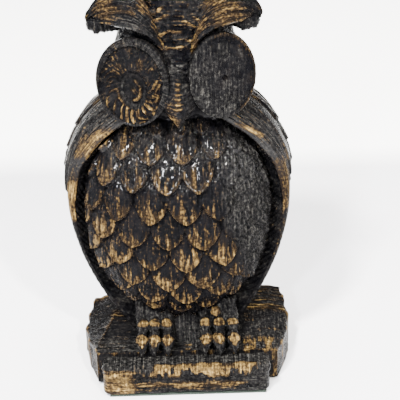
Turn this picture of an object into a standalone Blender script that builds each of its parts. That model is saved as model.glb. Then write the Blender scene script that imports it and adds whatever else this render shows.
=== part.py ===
"""A carved and painted owl book end, modelled as its separate pieces.

Frame: +Z up, the owl looks along -Y, and the flat back that the books lean on is the plane y = BACK_Y.
The origin is under the middle of the object's box, on the surface it stands on.
"""

import math

import bmesh
import bpy
from mathutils import Matrix, Vector

MM = 0.001

# Clearance left between any two pieces, and the slack of a peg in its hole.
GAP = 0.3 * MM
PEG_SLACK = 0.3 * MM

# The flat back that the books lean on.
BACK_Y = 36 * MM

# Felt and base. The step stands in front of the block, a little lower than it.
FELT_THICKNESS = 1.0 * MM
FELT_INSET = 1.6 * MM
BLOCK_HEIGHT = 16.7 * MM
BLOCK_FRONT_Y = -24 * MM
BLOCK_HALF_FRONT = 42.5 * MM
BLOCK_HALF_WAIST = 50 * MM
BLOCK_WAIST_Y = 4 * MM
BLOCK_HALF_BACK = 48 * MM
BLOCK_EDGE_BEVEL = 1.2 * MM
STEP_DEPTH = 12 * MM
STEP_HALF_WIDTH = 38 * MM
STEP_DROP = 1.3 * MM
STEP_EDGE_ROUND = 2.0 * MM
STEP_DOWEL_X = 24 * MM
STEP_DOWEL_RADIUS = 2.5 * MM
STEP_DOWEL_LENGTH = 16 * MM
BLOCK_BOTTOM = FELT_THICKNESS + GAP
BLOCK_TOP = BLOCK_BOTTOM + BLOCK_HEIGHT

# Iron weight let into the underside of the block.
WEIGHT_SIZE = (60 * MM, 22 * MM, 8 * MM)
WEIGHT_Y = 3 * MM

# Wood screws that pull the torso down onto the block.
SCREW_X = 11 * MM
SCREW_Y = 23 * MM
SCREW_RADIUS = 2.1 * MM
SCREW_HEAD_RADIUS = 4.4 * MM
SCREW_HEAD_HEIGHT = 2.6 * MM
SCREW_LENGTH = 38 * MM

# Torso: the breast is half an egg in front of BREAST_Y, and a tapering slab behind it.
BREAST_Y = -1 * MM
BREAST_HALF_WIDTH = 42.5 * MM
BREAST_DEPTH_SHARE = 0.635
BREAST_BOTTOM_Z = BLOCK_TOP + 12 * MM
BREAST_LOWER_HEIGHT = 56 * MM
BREAST_UPPER_HEIGHT = 44 * MM
BREAST_NECK_CUT = 4 * MM
BREAST_MID_Z = BREAST_BOTTOM_Z + BREAST_LOWER_HEIGHT
NECK_Z = BREAST_MID_Z + BREAST_UPPER_HEIGHT - BREAST_NECK_CUT
TORSO_BACK_SHARE = 0.84
TAIL_HALF_WIDTH = 19 * MM
TAIL_FRONT_Y = -5.4 * MM
TAIL_HEIGHT = 34 * MM
TAIL_TOP_Z = BLOCK_TOP + TAIL_HEIGHT
NECK_DOWEL_RADIUS = 6 * MM
NECK_DOWEL_Y = 12 * MM
NECK_DOWEL_LENGTH = 30 * MM

# Wings. Each table runs from the wing's bottom (0) to its top (1): the outline as a share of the
# widest half width, the width of the front lip and the place of the front edge.
WING_STANDOFF = 10 * MM
WING_OUTLINE = ((0, 0.505), (0.165, 0.724), (0.4, 0.928), (0.62, 1), (0.81, 0.93), (0.935, 0.752), (1, 0.581))
WING_LIP = ((0, 3.5), (0.62, 4.4), (0.75, 7), (0.865, 11), (0.95, 15), (1, 16))
WING_FRONT_Y = ((0, -3), (0.2, -5), (0.45, -7), (0.7, -8), (0.865, -11.5), (1, -15))
WING_BOTTOM_Z = BLOCK_TOP + GAP
WING_TOP_Z = NECK_Z + 7.5 * MM
WING_WIDEST_Y = 8 * MM
WING_FRONT_DROP = 3 * MM
WING_BACK_DROP_SHARE = 0.11
WING_LINING_FRONT_Y = 5 * MM
WING_LEAST_WALL = 1.2 * MM
SHOULDER_INNER_X = 19 * MM
WING_DOWEL_RADIUS = 2.5 * MM
WING_DOWEL_LENGTH = 18 * MM
WING_DOWEL_IN_TORSO = 11 * MM
WING_DOWEL_Y = 22 * MM
WING_DOWEL_HEIGHTS = {"upper": BLOCK_TOP + 88 * MM, "lower": BLOCK_TOP + 44 * MM}

# Head: height above the neck, half width, front and back of the core's sections.
HEAD_SECTIONS = (
    (0, 23.5, -12, 30),
    (8, 25.5, -14, 37),
    (16, 29.5, -16, 41),
    (26, 31.5, -17, 43),
    (38, 31, -17, 43),
    (48, 31, -16, 42),
    (55, 28, -13, 38),
    (59.8, 19, -6, 28),
    (62, 8, 2, 18),
)
HEAD_SQUARENESS = 2.6
HEAD_BOTTOM_Z = NECK_Z + GAP
BROW_PATH = (
    (3, -18.5, 34, 3),
    (12, -19.5, 40, 5.5),
    (23, -17, 45.5, 7.5),
    (31, -11, 49, 6.2),
    (36.3, -6, 50.2, 1.3),
)

# Eyes: oval discs let into the head, each held by a pin at its centre.
EYE_X = 18.4 * MM
EYE_Y = -18.5 * MM
EYE_Z = NECK_Z + 24.5 * MM
EYE_HALF_WIDTH = 15.4 * MM
EYE_HALF_HEIGHT = 19.4 * MM
EYE_THICKNESS = 8 * MM
EYE_YAW = math.radians(15)
EYE_PIN_RADIUS = 1.2 * MM
EYE_PIN_LENGTH = 15 * MM
EYE_PIN_SUNK = 2.5 * MM

# Beak: a kite-shaped pyramid between the eyes.
BEAK_WIDE_Z = NECK_Z + 13.5 * MM
BEAK_RISE = 15.5 * MM
BEAK_DROP = 8 * MM
BEAK_HALF_WIDTH = 7.4 * MM
BEAK_ROOT_Y = -14 * MM
BEAK_FRONT_Y = -31 * MM
BEAK_RIDGE_DROP = 4 * MM

# Feet: toes side by side, each a tube through (y, height above the block, radius).
FOOT_X = 14.6 * MM
TOE_PITCH = 6.6 * MM
TOE_START = (9, 2.9)
TOE_PATH = ((-13, 9.5, 3.0), (-20, 7.5, 3.1), (-25, 4.4, 2.7), (-28.6, 0.8, 1.4))
PAD_BACK_Y = TAIL_FRONT_Y - 4 * GAP
PAD_DEPTH = 10 * MM
PAD_HEIGHT = 15 * MM
PAD_HALF_WIDTH = 9.6 * MM

ENAMEL = (0.02, 0.02, 0.024)
WORN_ENAMEL = (0.05, 0.05, 0.048)
FELT_GREEN = (0.03, 0.055, 0.035)
STEEL = (0.45, 0.45, 0.46)
IRON = (0.12, 0.12, 0.125)
BEECH = (0.62, 0.45, 0.27)


# ---------------------------------------------------------------- helpers


def clear_scene():
    """Remove whatever the file holds, so that the script can be run again."""
    for obj in list(bpy.data.objects):
        bpy.data.objects.remove(obj)


def make_collection(name):
    """A new collection in the scene."""
    collection = bpy.data.collections.new(name)
    bpy.context.scene.collection.children.link(collection)
    return collection


def make_material(name, colour, roughness, metallic=0.0):
    """A Principled material of one colour."""
    material = bpy.data.materials.new(name)
    material.use_nodes = True
    shader = material.node_tree.nodes["Principled BSDF"]
    shader.inputs["Base Color"].default_value = (*colour, 1)
    shader.inputs["Roughness"].default_value = roughness
    shader.inputs["Metallic"].default_value = metallic
    return material


def add_object(name, mesh, collection, material=None):
    """Link a mesh as a named object and give it its material."""
    obj = bpy.data.objects.new(name, mesh)
    collection.objects.link(obj)
    if material:
        mesh.materials.append(material)
        mesh.shade_smooth()
        mesh.set_sharp_from_angle(angle=math.radians(35))
    return obj


def as_cutter(obj):
    """Keep a helper out of the render and draw it as a wire."""
    obj.hide_render = True
    obj.display_type = "WIRE"
    return obj


def mesh_from(build):
    """A mesh made by build(bm), with its faces turned outwards."""
    bm = bmesh.new()
    build(bm)
    bmesh.ops.recalc_face_normals(bm, faces=bm.faces)
    mesh = bpy.data.meshes.new("mesh")
    bm.to_mesh(mesh)
    bm.free()
    return mesh


def box_mesh(size, centre):
    """A box of a size about a centre."""

    def build(bm):
        place = Matrix.Translation(centre) @ Matrix.Diagonal((*size, 1))
        bmesh.ops.create_cube(bm, size=1, matrix=place)

    return mesh_from(build)


def rod_mesh(start, direction, length, radius, sides=16, end_radius=None):
    """A round rod, or a cone where end_radius is given, from a point along a direction."""
    along = Vector(direction).normalized()
    middle = Vector(start) + along * length / 2
    place = Matrix.Translation(middle) @ along.to_track_quat("Z", "Y").to_matrix().to_4x4()

    def build(bm):
        bmesh.ops.create_cone(
            bm,
            cap_ends=True,
            segments=sides,
            radius1=radius,
            radius2=radius if end_radius is None else end_radius,
            depth=length,
            matrix=place,
        )

    return mesh_from(build)


def loft_mesh(rings):
    """A closed skin over rings of equally many points, with a flat cap at each end."""

    def build(bm):
        rows = [[bm.verts.new(point) for point in ring] for ring in rings]
        count = len(rows[0])
        for low, high in zip(rows, rows[1:]):
            for i in range(count):
                j = (i + 1) % count
                bm.faces.new((low[i], low[j], high[j], high[i]))
        bm.faces.new(reversed(rows[0]))
        bm.faces.new(rows[-1])

    return mesh_from(build)


def curve_as_mesh(curve, name="curve"):
    """The closed mesh that a curve makes, its caps welded to its sides."""
    holder = bpy.data.objects.new(name, curve)
    bpy.context.scene.collection.objects.link(holder)
    bpy.context.view_layer.update()
    graph = bpy.context.evaluated_depsgraph_get()
    mesh = bpy.data.meshes.new_from_object(holder.evaluated_get(graph))
    bpy.data.objects.remove(holder)
    bm = bmesh.new()
    bm.from_mesh(mesh)
    bmesh.ops.remove_doubles(bm, verts=bm.verts, dist=0.01 * MM)
    bmesh.ops.recalc_face_normals(bm, faces=bm.faces)
    bm.to_mesh(mesh)
    bm.free()
    return mesh


def slab_mesh(outline, bottom, top):
    """A flat outline given as (x, y) points, filled and made solid from bottom to top."""
    curve = bpy.data.curves.new("outline", "CURVE")
    curve.dimensions = "2D"
    curve.fill_mode = "BOTH"
    curve.extrude = (top - bottom) / 2
    spline = curve.splines.new("POLY")
    spline.points.add(len(outline) - 1)
    for point, (x, y) in zip(spline.points, outline):
        point.co = (x, y, 0, 1)
    spline.use_cyclic_u = True
    mesh = curve_as_mesh(curve)
    mesh.transform(Matrix.Translation((0, 0, (bottom + top) / 2)))
    return mesh


def tube_mesh(path, sides_resolution=2):
    """A round tube through points (x, y, z, radius), on a smooth curve with filled caps."""
    curve = bpy.data.curves.new("tube", "CURVE")
    curve.dimensions = "3D"
    curve.bevel_depth = 1
    curve.bevel_resolution = sides_resolution
    curve.use_fill_caps = True
    curve.resolution_u = 3
    spline = curve.splines.new("BEZIER")
    spline.bezier_points.add(len(path) - 1)
    for point, (x, y, z, radius) in zip(spline.bezier_points, path):
        point.co = (x, y, z)
        point.radius = radius
        point.handle_left_type = point.handle_right_type = "AUTO"
    return curve_as_mesh(curve)


def settle(obj, modifier):
    """Put a modifier's result into the object's own mesh."""
    graph = bpy.context.evaluated_depsgraph_get()
    materials = list(obj.data.materials)
    mesh = bpy.data.meshes.new_from_object(obj.evaluated_get(graph))
    obj.modifiers.remove(modifier)
    obj.data = mesh
    mesh.materials.clear()
    for material in materials:
        mesh.materials.append(material)


def combine(obj, other, operation):
    """Join or cut obj with another object, with the exact solver."""
    modifier = obj.modifiers.new(operation.lower(), "BOOLEAN")
    modifier.operation = operation
    modifier.object = other
    modifier.solver = "EXACT"
    settle(obj, modifier)


def bevel(obj, width, segments=2, angle=math.radians(35)):
    """Round the sharp edges of an object, before anything is cut from it."""
    modifier = obj.modifiers.new("rounded_edges", "BEVEL")
    modifier.width = width
    modifier.segments = segments
    modifier.limit_method = "ANGLE"
    modifier.angle_limit = angle
    settle(obj, modifier)


def mirrored(mesh):
    """A copy of a mesh on the other side of the plane x = 0."""
    copy = mesh.copy()
    copy.transform(Matrix.Scale(-1, 4, (1, 0, 0)))
    copy.flip_normals()
    return copy


def smooth_through(points, at):
    """The value of a smooth curve through (place, value) points, at a place."""
    places = [p[0] for p in points]
    values = [p[1] for p in points]
    last = len(points) - 1
    at = min(max(at, places[0]), places[-1])
    i = max(k for k in range(last) if places[k] <= at)

    def slope(k):
        low, high = max(k - 1, 0), min(k + 1, last)
        return (values[high] - values[low]) / (places[high] - places[low])

    span = places[i + 1] - places[i]
    t = (at - places[i]) / span
    h00 = 2 * t**3 - 3 * t**2 + 1
    h10 = t**3 - 2 * t**2 + t
    h01 = 3 * t**2 - 2 * t**3
    h11 = t**3 - t**2
    return h00 * values[i] + h10 * span * slope(i) + h01 * values[i + 1] + h11 * span * slope(i + 1)


def spread(low, high, count):
    """Evenly spaced values from low to high, both included."""
    return [low + (high - low) * i / (count - 1) for i in range(count)]


# ---------------------------------------------------------------- shapes of the figure


def breast_half_width(z):
    """Half ellipse above and below the widest height."""
    reach = BREAST_UPPER_HEIGHT if z > BREAST_MID_Z else BREAST_LOWER_HEIGHT
    share = min(abs(z - BREAST_MID_Z) / reach, 1)
    return BREAST_HALF_WIDTH * math.sqrt(max(1 - share**2, 0))


def torso_side(z, y, offset=0.0):
    """Half width of the torso at a height and depth, behind the breast's widest line."""
    half = breast_half_width(z)
    back = half * TORSO_BACK_SHARE
    share = max(y - BREAST_Y, 0) / (BACK_Y - BREAST_Y)
    return half + (back - half) * share + offset


def torso_ring(z, offset):
    """One section of the torso: an ellipse in front, straight sides and a flat back."""
    half = breast_half_width(z) + offset
    depth = breast_half_width(z) * BREAST_DEPTH_SHARE + offset
    front = [
        (half * math.sin(a), BREAST_Y - depth * math.cos(a), z)
        for a in spread(-math.pi / 2, math.pi / 2, 25)
    ]
    back_y = BACK_Y + offset
    sides = spread(BREAST_Y, back_y, 4)[1:]
    right = [(torso_side(z, y, offset), y, z) for y in sides]
    left = [(-x, y, z) for x, y, z in reversed(right)]
    return front + right + left


def torso_levels():
    """Heights of the torso's sections, closer together near the bottom."""
    bottom = BREAST_BOTTOM_Z + 0.4 * MM
    return [bottom + (NECK_Z - bottom) * s**1.6 for s in spread(0, 1, 18)]


def torso_mesh(offset=0.0):
    """The egg-shaped body from its bottom to the flat neck, grown by an offset on every side."""
    rings = [torso_ring(z, offset) for z in torso_levels()]
    if offset:
        rings[0] = [(x, y, z - offset) for x, y, z in rings[0]]
        rings[-1] = [(x, y, z + offset) for x, y, z in rings[-1]]
    return loft_mesh(rings)


def tail_mesh():
    """The stub of tail behind the feet, which stands on the block and carries the torso."""
    bottom = BLOCK_TOP + GAP
    size = (2 * TAIL_HALF_WIDTH, BACK_Y - TAIL_FRONT_Y, TAIL_TOP_Z - bottom)
    centre = (0, (BACK_Y + TAIL_FRONT_Y) / 2, (TAIL_TOP_Z + bottom) / 2)
    return box_mesh(size, centre)


def wing_ring(z):
    """One section of the right wing: the outer skin from front to back, then the inner skin forwards."""
    share = (z - WING_BOTTOM_Z) / (WING_TOP_Z - WING_BOTTOM_Z)
    width = (BREAST_HALF_WIDTH + WING_STANDOFF) * smooth_through(WING_OUTLINE, share)
    lip = smooth_through(WING_LIP, share) * MM
    front = smooth_through(WING_FRONT_Y, share) * MM

    def inner(y):
        if z > NECK_Z - 1 * MM:
            return max(SHOULDER_INNER_X, torso_side(NECK_Z, y) + 2 * GAP)
        return max(torso_side(z, y), TAIL_HALF_WIDTH if z < TAIL_TOP_Z + 2 * MM else 0) + 2 * GAP

    def outer(y):
        if y < WING_WIDEST_Y:
            x = width - WING_FRONT_DROP * ((WING_WIDEST_Y - y) / (WING_WIDEST_Y - front)) ** 2
        else:
            x = width * (1 - WING_BACK_DROP_SHARE * ((y - WING_WIDEST_Y) / (BACK_Y - WING_WIDEST_Y)) ** 2)
        return max(x, inner(max(y, BREAST_Y)) + WING_LEAST_WALL)

    lip_x = max(width - lip - WING_FRONT_DROP / 2, inner(BREAST_Y))
    skin = [(outer(y), y, z) for y in spread(front, BACK_Y, 8)]
    lining = [(inner(y), y, z) for y in reversed(spread(WING_LINING_FRONT_Y, BACK_Y, 5))]
    middle_y = min((front + WING_LINING_FRONT_Y) / 2, BREAST_Y)
    return skin + lining + [(lip_x, middle_y, z), (lip_x, front, z)]


def wing_mesh():
    """The right wing, a shell wrapped round the torso's side from the breast to the back."""
    levels = torso_levels()
    below = spread(WING_BOTTOM_Z, levels[0], 4)[:-1]
    above = spread(levels[-1], WING_TOP_Z, 4)[1:]
    return loft_mesh([wing_ring(z) for z in below + levels + above])


def head_ring(height, half, front, back, grow=0.0, count=32):
    """One section of the head, grown on every side: a squarish oval, cut off at the back plane."""
    half, front, back = half + grow, front - grow, back + grow
    points = []
    for k in range(count):
        a = 2 * math.pi * k / count
        c, s = math.cos(a), math.sin(a)
        x = half * math.copysign(abs(c) ** (2 / HEAD_SQUARENESS), c)
        y = (front + back) / 2 + (back - front) / 2 * math.copysign(abs(s) ** (2 / HEAD_SQUARENESS), s)
        points.append((x * MM, min(y * MM, BACK_Y), HEAD_BOTTOM_Z + height * MM))
    return points


def head_core_mesh(grow=0.0):
    """The head without its brows, grown on every side."""
    rings = [head_ring(*section, grow=grow / MM) for section in HEAD_SECTIONS]
    rings[0] = [(x, y, z - grow) for x, y, z in rings[0]]
    return loft_mesh(rings)


def eye_frame(side):
    """Place and turn of an eye disc: its own +Z looks out of the face."""
    turn = Matrix.Rotation(side * EYE_YAW, 4, "Z") @ Matrix.Rotation(math.radians(90), 4, "X")
    return Matrix.Translation((side * EYE_X, EYE_Y, EYE_Z)) @ turn


def eye_mesh(side, offset=0.0):
    """An oval disc standing in the face, turned a little outwards."""
    corners = [
        ((EYE_HALF_WIDTH + offset) * math.cos(a), (EYE_HALF_HEIGHT + offset) * math.sin(a))
        for a in [2 * math.pi * k / 36 for k in range(36)]
    ]
    mesh = slab_mesh(corners, -EYE_THICKNESS / 2 - offset, EYE_THICKNESS / 2 + offset)
    mesh.transform(eye_frame(side))
    return mesh


def eye_pin_mesh(side, radius, over_front=0.0, over_back=0.0):
    """A rod along the disc's axis, from just under its face into the head, lengthened at either end."""
    frame = eye_frame(side)
    start = frame @ Vector((0, 0, EYE_THICKNESS / 2 - EYE_PIN_SUNK + over_front))
    inwards = frame.to_3x3() @ Vector((0, 0, -1))
    return rod_mesh(start, inwards, EYE_PIN_LENGTH + over_front + over_back, radius, sides=12)


def beak_mesh():
    """A kite-shaped pyramid: four outline corners at the root and one ridge point in front."""

    def build(bm):
        bmesh.ops.create_cone(bm, cap_ends=True, segments=4, radius1=1, radius2=0.04, depth=1)
        for vert in bm.verts:
            x, y, depth = vert.co
            reach = BEAK_RISE if y > 0 else BEAK_DROP
            forward = depth + 0.5
            vert.co = (
                BEAK_HALF_WIDTH * x,
                BEAK_ROOT_Y + (BEAK_FRONT_Y - BEAK_ROOT_Y) * forward,
                BEAK_WIDE_Z + reach * y - BEAK_RIDGE_DROP * forward,
            )

    return mesh_from(build)


def toe_mesh(x):
    """One toe: a tube from under the belly forwards and down to its claw."""
    start_y = PAD_BACK_Y / MM - 0.6
    path = [(start_y, *TOE_START), *TOE_PATH]
    return tube_mesh([(x, y * MM, BLOCK_TOP + z * MM, r * MM) for y, z, r in path])


def base_outline(inset=0.0):
    """The base block seen from above, counter-clockwise from its front left corner."""
    half_front = BLOCK_HALF_FRONT - inset
    half_waist = BLOCK_HALF_WAIST - inset
    half_back = BLOCK_HALF_BACK - inset
    back = BACK_Y - inset
    right = [(half_front, BLOCK_FRONT_Y + inset), (half_waist, BLOCK_WAIST_Y), (half_back, back)]
    return [(-x, y) for x, y in right[:1]] + right + [(-x, y) for x, y in reversed(right[1:])]


def felt_outline():
    """Base block and front step together, drawn in by the felt's inset."""
    block = base_outline(FELT_INSET)
    half = STEP_HALF_WIDTH - FELT_INSET
    front = BLOCK_FRONT_Y - STEP_DEPTH + FELT_INSET
    corner_y = block[0][1]
    step = [(-half, corner_y), (-half, front), (half, front), (half, corner_y)]
    return block[:1] + step + block[1:]


# ---------------------------------------------------------------- pieces


def build_base(parts, cutters, enamel, felt, beech, steel, iron):
    """Block, step, felt, hidden weight, the dowels of the step and the two screws."""
    bottom = BLOCK_BOTTOM
    add_object("base_felt", slab_mesh(felt_outline(), 0, FELT_THICKNESS), parts, felt)
    block = add_object("base_block", slab_mesh(base_outline(), bottom, BLOCK_TOP), parts, enamel)
    step_height = BLOCK_HEIGHT - STEP_DROP
    step_size = (2 * STEP_HALF_WIDTH, STEP_DEPTH - GAP, step_height)
    step_centre = (0, BLOCK_FRONT_Y - (STEP_DEPTH + GAP) / 2, bottom + step_height / 2)
    step = add_object("front_step", box_mesh(step_size, step_centre), parts, enamel)
    bevel(block, BLOCK_EDGE_BEVEL, segments=2, angle=math.radians(25))
    bevel(step, STEP_EDGE_ROUND, segments=3)

    weight_z = bottom + WEIGHT_SIZE[2] / 2 + GAP
    add_object("base_weight", box_mesh(WEIGHT_SIZE, (0, WEIGHT_Y, weight_z)), parts, iron)
    pocket_size = [side + 2 * PEG_SLACK for side in WEIGHT_SIZE]
    pocket_size[2] = 2 * (WEIGHT_SIZE[2] + 2 * GAP)
    pocket = add_object("weight_pocket", box_mesh(pocket_size, (0, WEIGHT_Y, bottom)), cutters)
    combine(block, as_cutter(pocket), "DIFFERENCE")

    dowel_z = bottom + step_height / 2
    for side, word in ((-1, "left"), (1, "right")):
        start = (side * STEP_DOWEL_X, BLOCK_FRONT_Y - STEP_DOWEL_LENGTH / 2, dowel_z)
        dowel = rod_mesh(start, (0, 1, 0), STEP_DOWEL_LENGTH, STEP_DOWEL_RADIUS)
        add_object(f"step_dowel_{word}", dowel, parts, beech)
        start = (start[0], start[1] - PEG_SLACK, dowel_z)
        length = STEP_DOWEL_LENGTH + 2 * PEG_SLACK
        bore = rod_mesh(start, (0, 1, 0), length, STEP_DOWEL_RADIUS + PEG_SLACK)
        hole = as_cutter(add_object(f"step_dowel_hole_{word}", bore, cutters))
        combine(block, hole, "DIFFERENCE")
        combine(step, hole, "DIFFERENCE")

        screw = add_object(f"base_screw_{word}", screw_mesh(side), parts, steel)
        combine(screw, screw_shank(side, cutters), "UNION")
        combine(block, screw_hole(side, cutters), "DIFFERENCE")
        combine(block, screw_countersink(side, cutters), "DIFFERENCE")


def screw_mesh(side):
    """The countersunk head of a base screw, wide at the bottom."""
    bottom = FELT_THICKNESS + 2 * GAP
    start = (side * SCREW_X, SCREW_Y, bottom)
    return rod_mesh(start, (0, 0, 1), SCREW_HEAD_HEIGHT, SCREW_HEAD_RADIUS, end_radius=SCREW_RADIUS)


def screw_shank(side, cutters):
    """The plain shank of a base screw."""
    bottom = FELT_THICKNESS + 2 * GAP + SCREW_HEAD_HEIGHT / 2
    length = SCREW_LENGTH - SCREW_HEAD_HEIGHT / 2
    shank = rod_mesh((side * SCREW_X, SCREW_Y, bottom), (0, 0, 1), length, SCREW_RADIUS)
    return as_cutter(add_object(f"screw_shank_{side}", shank, cutters))


def screw_hole(side, cutters):
    """The hole for a base screw's shank, from under the block up into the torso."""
    length = SCREW_LENGTH + FELT_THICKNESS + 3 * GAP
    hole = rod_mesh((side * SCREW_X, SCREW_Y, 0), (0, 0, 1), length, SCREW_RADIUS + PEG_SLACK)
    return as_cutter(add_object(f"screw_hole_{side}", hole, cutters))


def screw_countersink(side, cutters):
    """The cone in the block's underside that takes a screw's head."""
    slope = (SCREW_HEAD_RADIUS - SCREW_RADIUS) / SCREW_HEAD_HEIGHT
    depth = FELT_THICKNESS + 2 * GAP + SCREW_HEAD_HEIGHT + PEG_SLACK
    top_radius = SCREW_RADIUS + PEG_SLACK
    cone = rod_mesh(
        (side * SCREW_X, SCREW_Y, 0),
        (0, 0, 1),
        depth,
        top_radius + slope * depth,
        end_radius=top_radius,
    )
    return as_cutter(add_object(f"screw_countersink_{side}", cone, cutters))


def build_torso(parts, cutters, enamel, beech):
    """The body with its tail stub, bored for the screws, the neck dowel and the wing dowels."""
    torso = add_object("torso", torso_mesh(), parts, enamel)
    combine(torso, as_cutter(add_object("tail_stub", tail_mesh(), cutters)), "UNION")
    for side in (-1, 1):
        combine(torso, screw_hole(side, cutters), "DIFFERENCE")
    neck_start = (0, NECK_DOWEL_Y, NECK_Z + GAP / 2 - NECK_DOWEL_LENGTH / 2)
    dowel = rod_mesh(neck_start, (0, 0, 1), NECK_DOWEL_LENGTH, NECK_DOWEL_RADIUS)
    add_object("neck_dowel", dowel, parts, beech)
    start = (neck_start[0], neck_start[1], neck_start[2] - PEG_SLACK)
    length = NECK_DOWEL_LENGTH + 2 * PEG_SLACK
    bore = rod_mesh(start, (0, 0, 1), length, NECK_DOWEL_RADIUS + PEG_SLACK)
    neck_hole = as_cutter(add_object("neck_dowel_hole", bore, cutters))
    combine(torso, neck_hole, "DIFFERENCE")
    return torso, neck_hole


def build_wings(torso, parts, cutters, enamel, beech):
    """Both wings, and the two dowels that pin each to the torso's side."""
    right_mesh = wing_mesh()
    wings = {
        1: add_object("wing_right", right_mesh, parts, enamel),
        -1: add_object("wing_left", mirrored(right_mesh), parts, enamel),
    }
    for side, word in ((-1, "left"), (1, "right")):
        for level, z in WING_DOWEL_HEIGHTS.items():
            middle = torso_side(z, WING_DOWEL_Y)
            inner = middle - WING_DOWEL_IN_TORSO
            start = (side * inner, WING_DOWEL_Y, z)
            dowel = rod_mesh(start, (side, 0, 0), WING_DOWEL_LENGTH, WING_DOWEL_RADIUS)
            add_object(f"wing_dowel_{word}_{level}", dowel, parts, beech)
            start = (side * (inner - PEG_SLACK), WING_DOWEL_Y, z)
            length = WING_DOWEL_LENGTH + 2 * PEG_SLACK
            bore = rod_mesh(start, (side, 0, 0), length, WING_DOWEL_RADIUS + PEG_SLACK)
            hole = as_cutter(add_object(f"wing_dowel_hole_{word}_{level}", bore, cutters))
            combine(torso, hole, "DIFFERENCE")
            combine(wings[side], hole, "DIFFERENCE")
    return wings


def build_head(wings, neck_hole, parts, cutters, enamel, worn, steel):
    """The head with its brows, the two eye discs and their pins, and the beak."""
    head = add_object("head", head_core_mesh(), parts, enamel)
    grown = as_cutter(add_object("head_core_grown", head_core_mesh(2 * GAP), cutters))
    for wing in wings.values():
        combine(wing, grown, "DIFFERENCE")
    for side in (-1, 1):
        path = [(side * x * MM, y * MM, NECK_Z + z * MM, r * MM) for x, y, z, r in BROW_PATH]
        brow = as_cutter(add_object(f"brow_{side}", tube_mesh(path), cutters))
        combine(head, brow, "UNION")
    combine(head, neck_hole, "DIFFERENCE")

    beak = add_object("beak", beak_mesh(), parts, enamel)
    for side, word, material in ((-1, "left", enamel), (1, "right", worn)):
        eye = add_object(f"eye_{word}", eye_mesh(side), parts, material)
        seat = as_cutter(add_object(f"eye_seat_{word}", eye_mesh(side, GAP), cutters))
        for piece in (head, beak, wings[side]):
            combine(piece, seat, "DIFFERENCE")
        add_object(f"eye_pin_{word}", eye_pin_mesh(side, EYE_PIN_RADIUS), parts, steel)
        bore = eye_pin_mesh(side, EYE_PIN_RADIUS + PEG_SLACK, EYE_PIN_SUNK + 1 * MM, PEG_SLACK)
        hole = as_cutter(add_object(f"eye_pin_hole_{word}", bore, cutters))
        combine(eye, hole, "DIFFERENCE")
        combine(head, hole, "DIFFERENCE")
    combine(beak, grown, "DIFFERENCE")
    return head, beak


def build_feet(parts, cutters, enamel):
    """Two feet of three toes each, fitted under the belly and in front of the tail stub."""
    belly = as_cutter(add_object("belly_grown", torso_mesh(2 * GAP), cutters))
    for side, word in ((-1, "left"), (1, "right")):
        middle = side * FOOT_X
        foot = add_object(f"foot_{word}", toe_mesh(middle), parts, enamel)
        for step in (-1, 1):
            toe = add_object(f"toe_{word}_{step}", toe_mesh(middle + step * TOE_PITCH), cutters)
            combine(foot, as_cutter(toe), "UNION")
        pad_size = (2 * PAD_HALF_WIDTH, PAD_DEPTH, PAD_HEIGHT - GAP)
        pad_centre = (middle, PAD_BACK_Y - PAD_DEPTH / 2, BLOCK_TOP + (PAD_HEIGHT + GAP) / 2)
        pad = add_object(f"pad_{word}", box_mesh(pad_size, pad_centre), cutters)
        combine(foot, as_cutter(pad), "UNION")
        combine(foot, belly, "DIFFERENCE")


def main():
    """Build every piece of the book end."""
    clear_scene()
    parts = make_collection("owl_book_end")
    cutters = make_collection("cutters")
    enamel = make_material("black_gold_enamel", ENAMEL, 0.35)
    worn = make_material("worn_enamel", WORN_ENAMEL, 0.6)
    felt = make_material("green_felt", FELT_GREEN, 0.95)
    steel = make_material("screw_steel", STEEL, 0.4, 1.0)
    iron = make_material("weight_iron", IRON, 0.6, 1.0)
    beech = make_material("beech_dowel", BEECH, 0.6)
    build_base(parts, cutters, enamel, felt, beech, steel, iron)
    torso, neck_hole = build_torso(parts, cutters, enamel, beech)
    wings = build_wings(torso, parts, cutters, enamel, beech)
    build_head(wings, neck_hole, parts, cutters, enamel, worn, steel)
    build_feet(parts, cutters, enamel)


main()
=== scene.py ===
"""Looks of the owl book end: carved feathers under black enamel, with gold paint dragged over what stands proud.

Every visible shape is a stack of closed rings worked out with numpy, in millimetres, and raised by a relief.
+X is the viewer's right, the owl looks along -Y, and z = 0 is the shelf.
"""

import math

import bpy
import numpy as np
from mathutils import Matrix, Vector


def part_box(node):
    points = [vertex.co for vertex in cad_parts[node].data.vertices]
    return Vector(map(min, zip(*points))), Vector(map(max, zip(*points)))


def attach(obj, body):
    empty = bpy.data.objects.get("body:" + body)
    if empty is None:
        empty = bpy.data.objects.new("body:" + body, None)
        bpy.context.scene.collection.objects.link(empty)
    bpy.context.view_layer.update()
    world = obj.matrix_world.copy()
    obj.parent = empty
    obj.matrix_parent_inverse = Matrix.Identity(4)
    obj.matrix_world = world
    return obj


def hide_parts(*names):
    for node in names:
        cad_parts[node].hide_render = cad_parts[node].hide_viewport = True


MM = 0.001
TAU = 2 * math.pi

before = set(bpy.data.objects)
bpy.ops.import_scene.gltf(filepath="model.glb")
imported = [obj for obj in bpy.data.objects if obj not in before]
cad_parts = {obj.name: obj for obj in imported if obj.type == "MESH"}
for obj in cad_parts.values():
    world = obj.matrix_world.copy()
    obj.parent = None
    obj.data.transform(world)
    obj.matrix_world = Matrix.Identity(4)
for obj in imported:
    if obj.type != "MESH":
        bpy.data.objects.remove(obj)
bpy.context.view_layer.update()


def box_mm(node):
    """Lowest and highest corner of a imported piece, in millimetres."""
    low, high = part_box(node)
    return np.array(low) / MM, np.array(high) / MM


# ---------------------------------------------------------------- numbers and noise


def smoothstep(low, high, x):
    """0 below low, 1 above high, and 3t^2 - 2t^3 between them; low may be the larger."""
    t = np.clip((x - low) / (high - low), 0, 1)
    return t * t * (3 - 2 * t)


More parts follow.
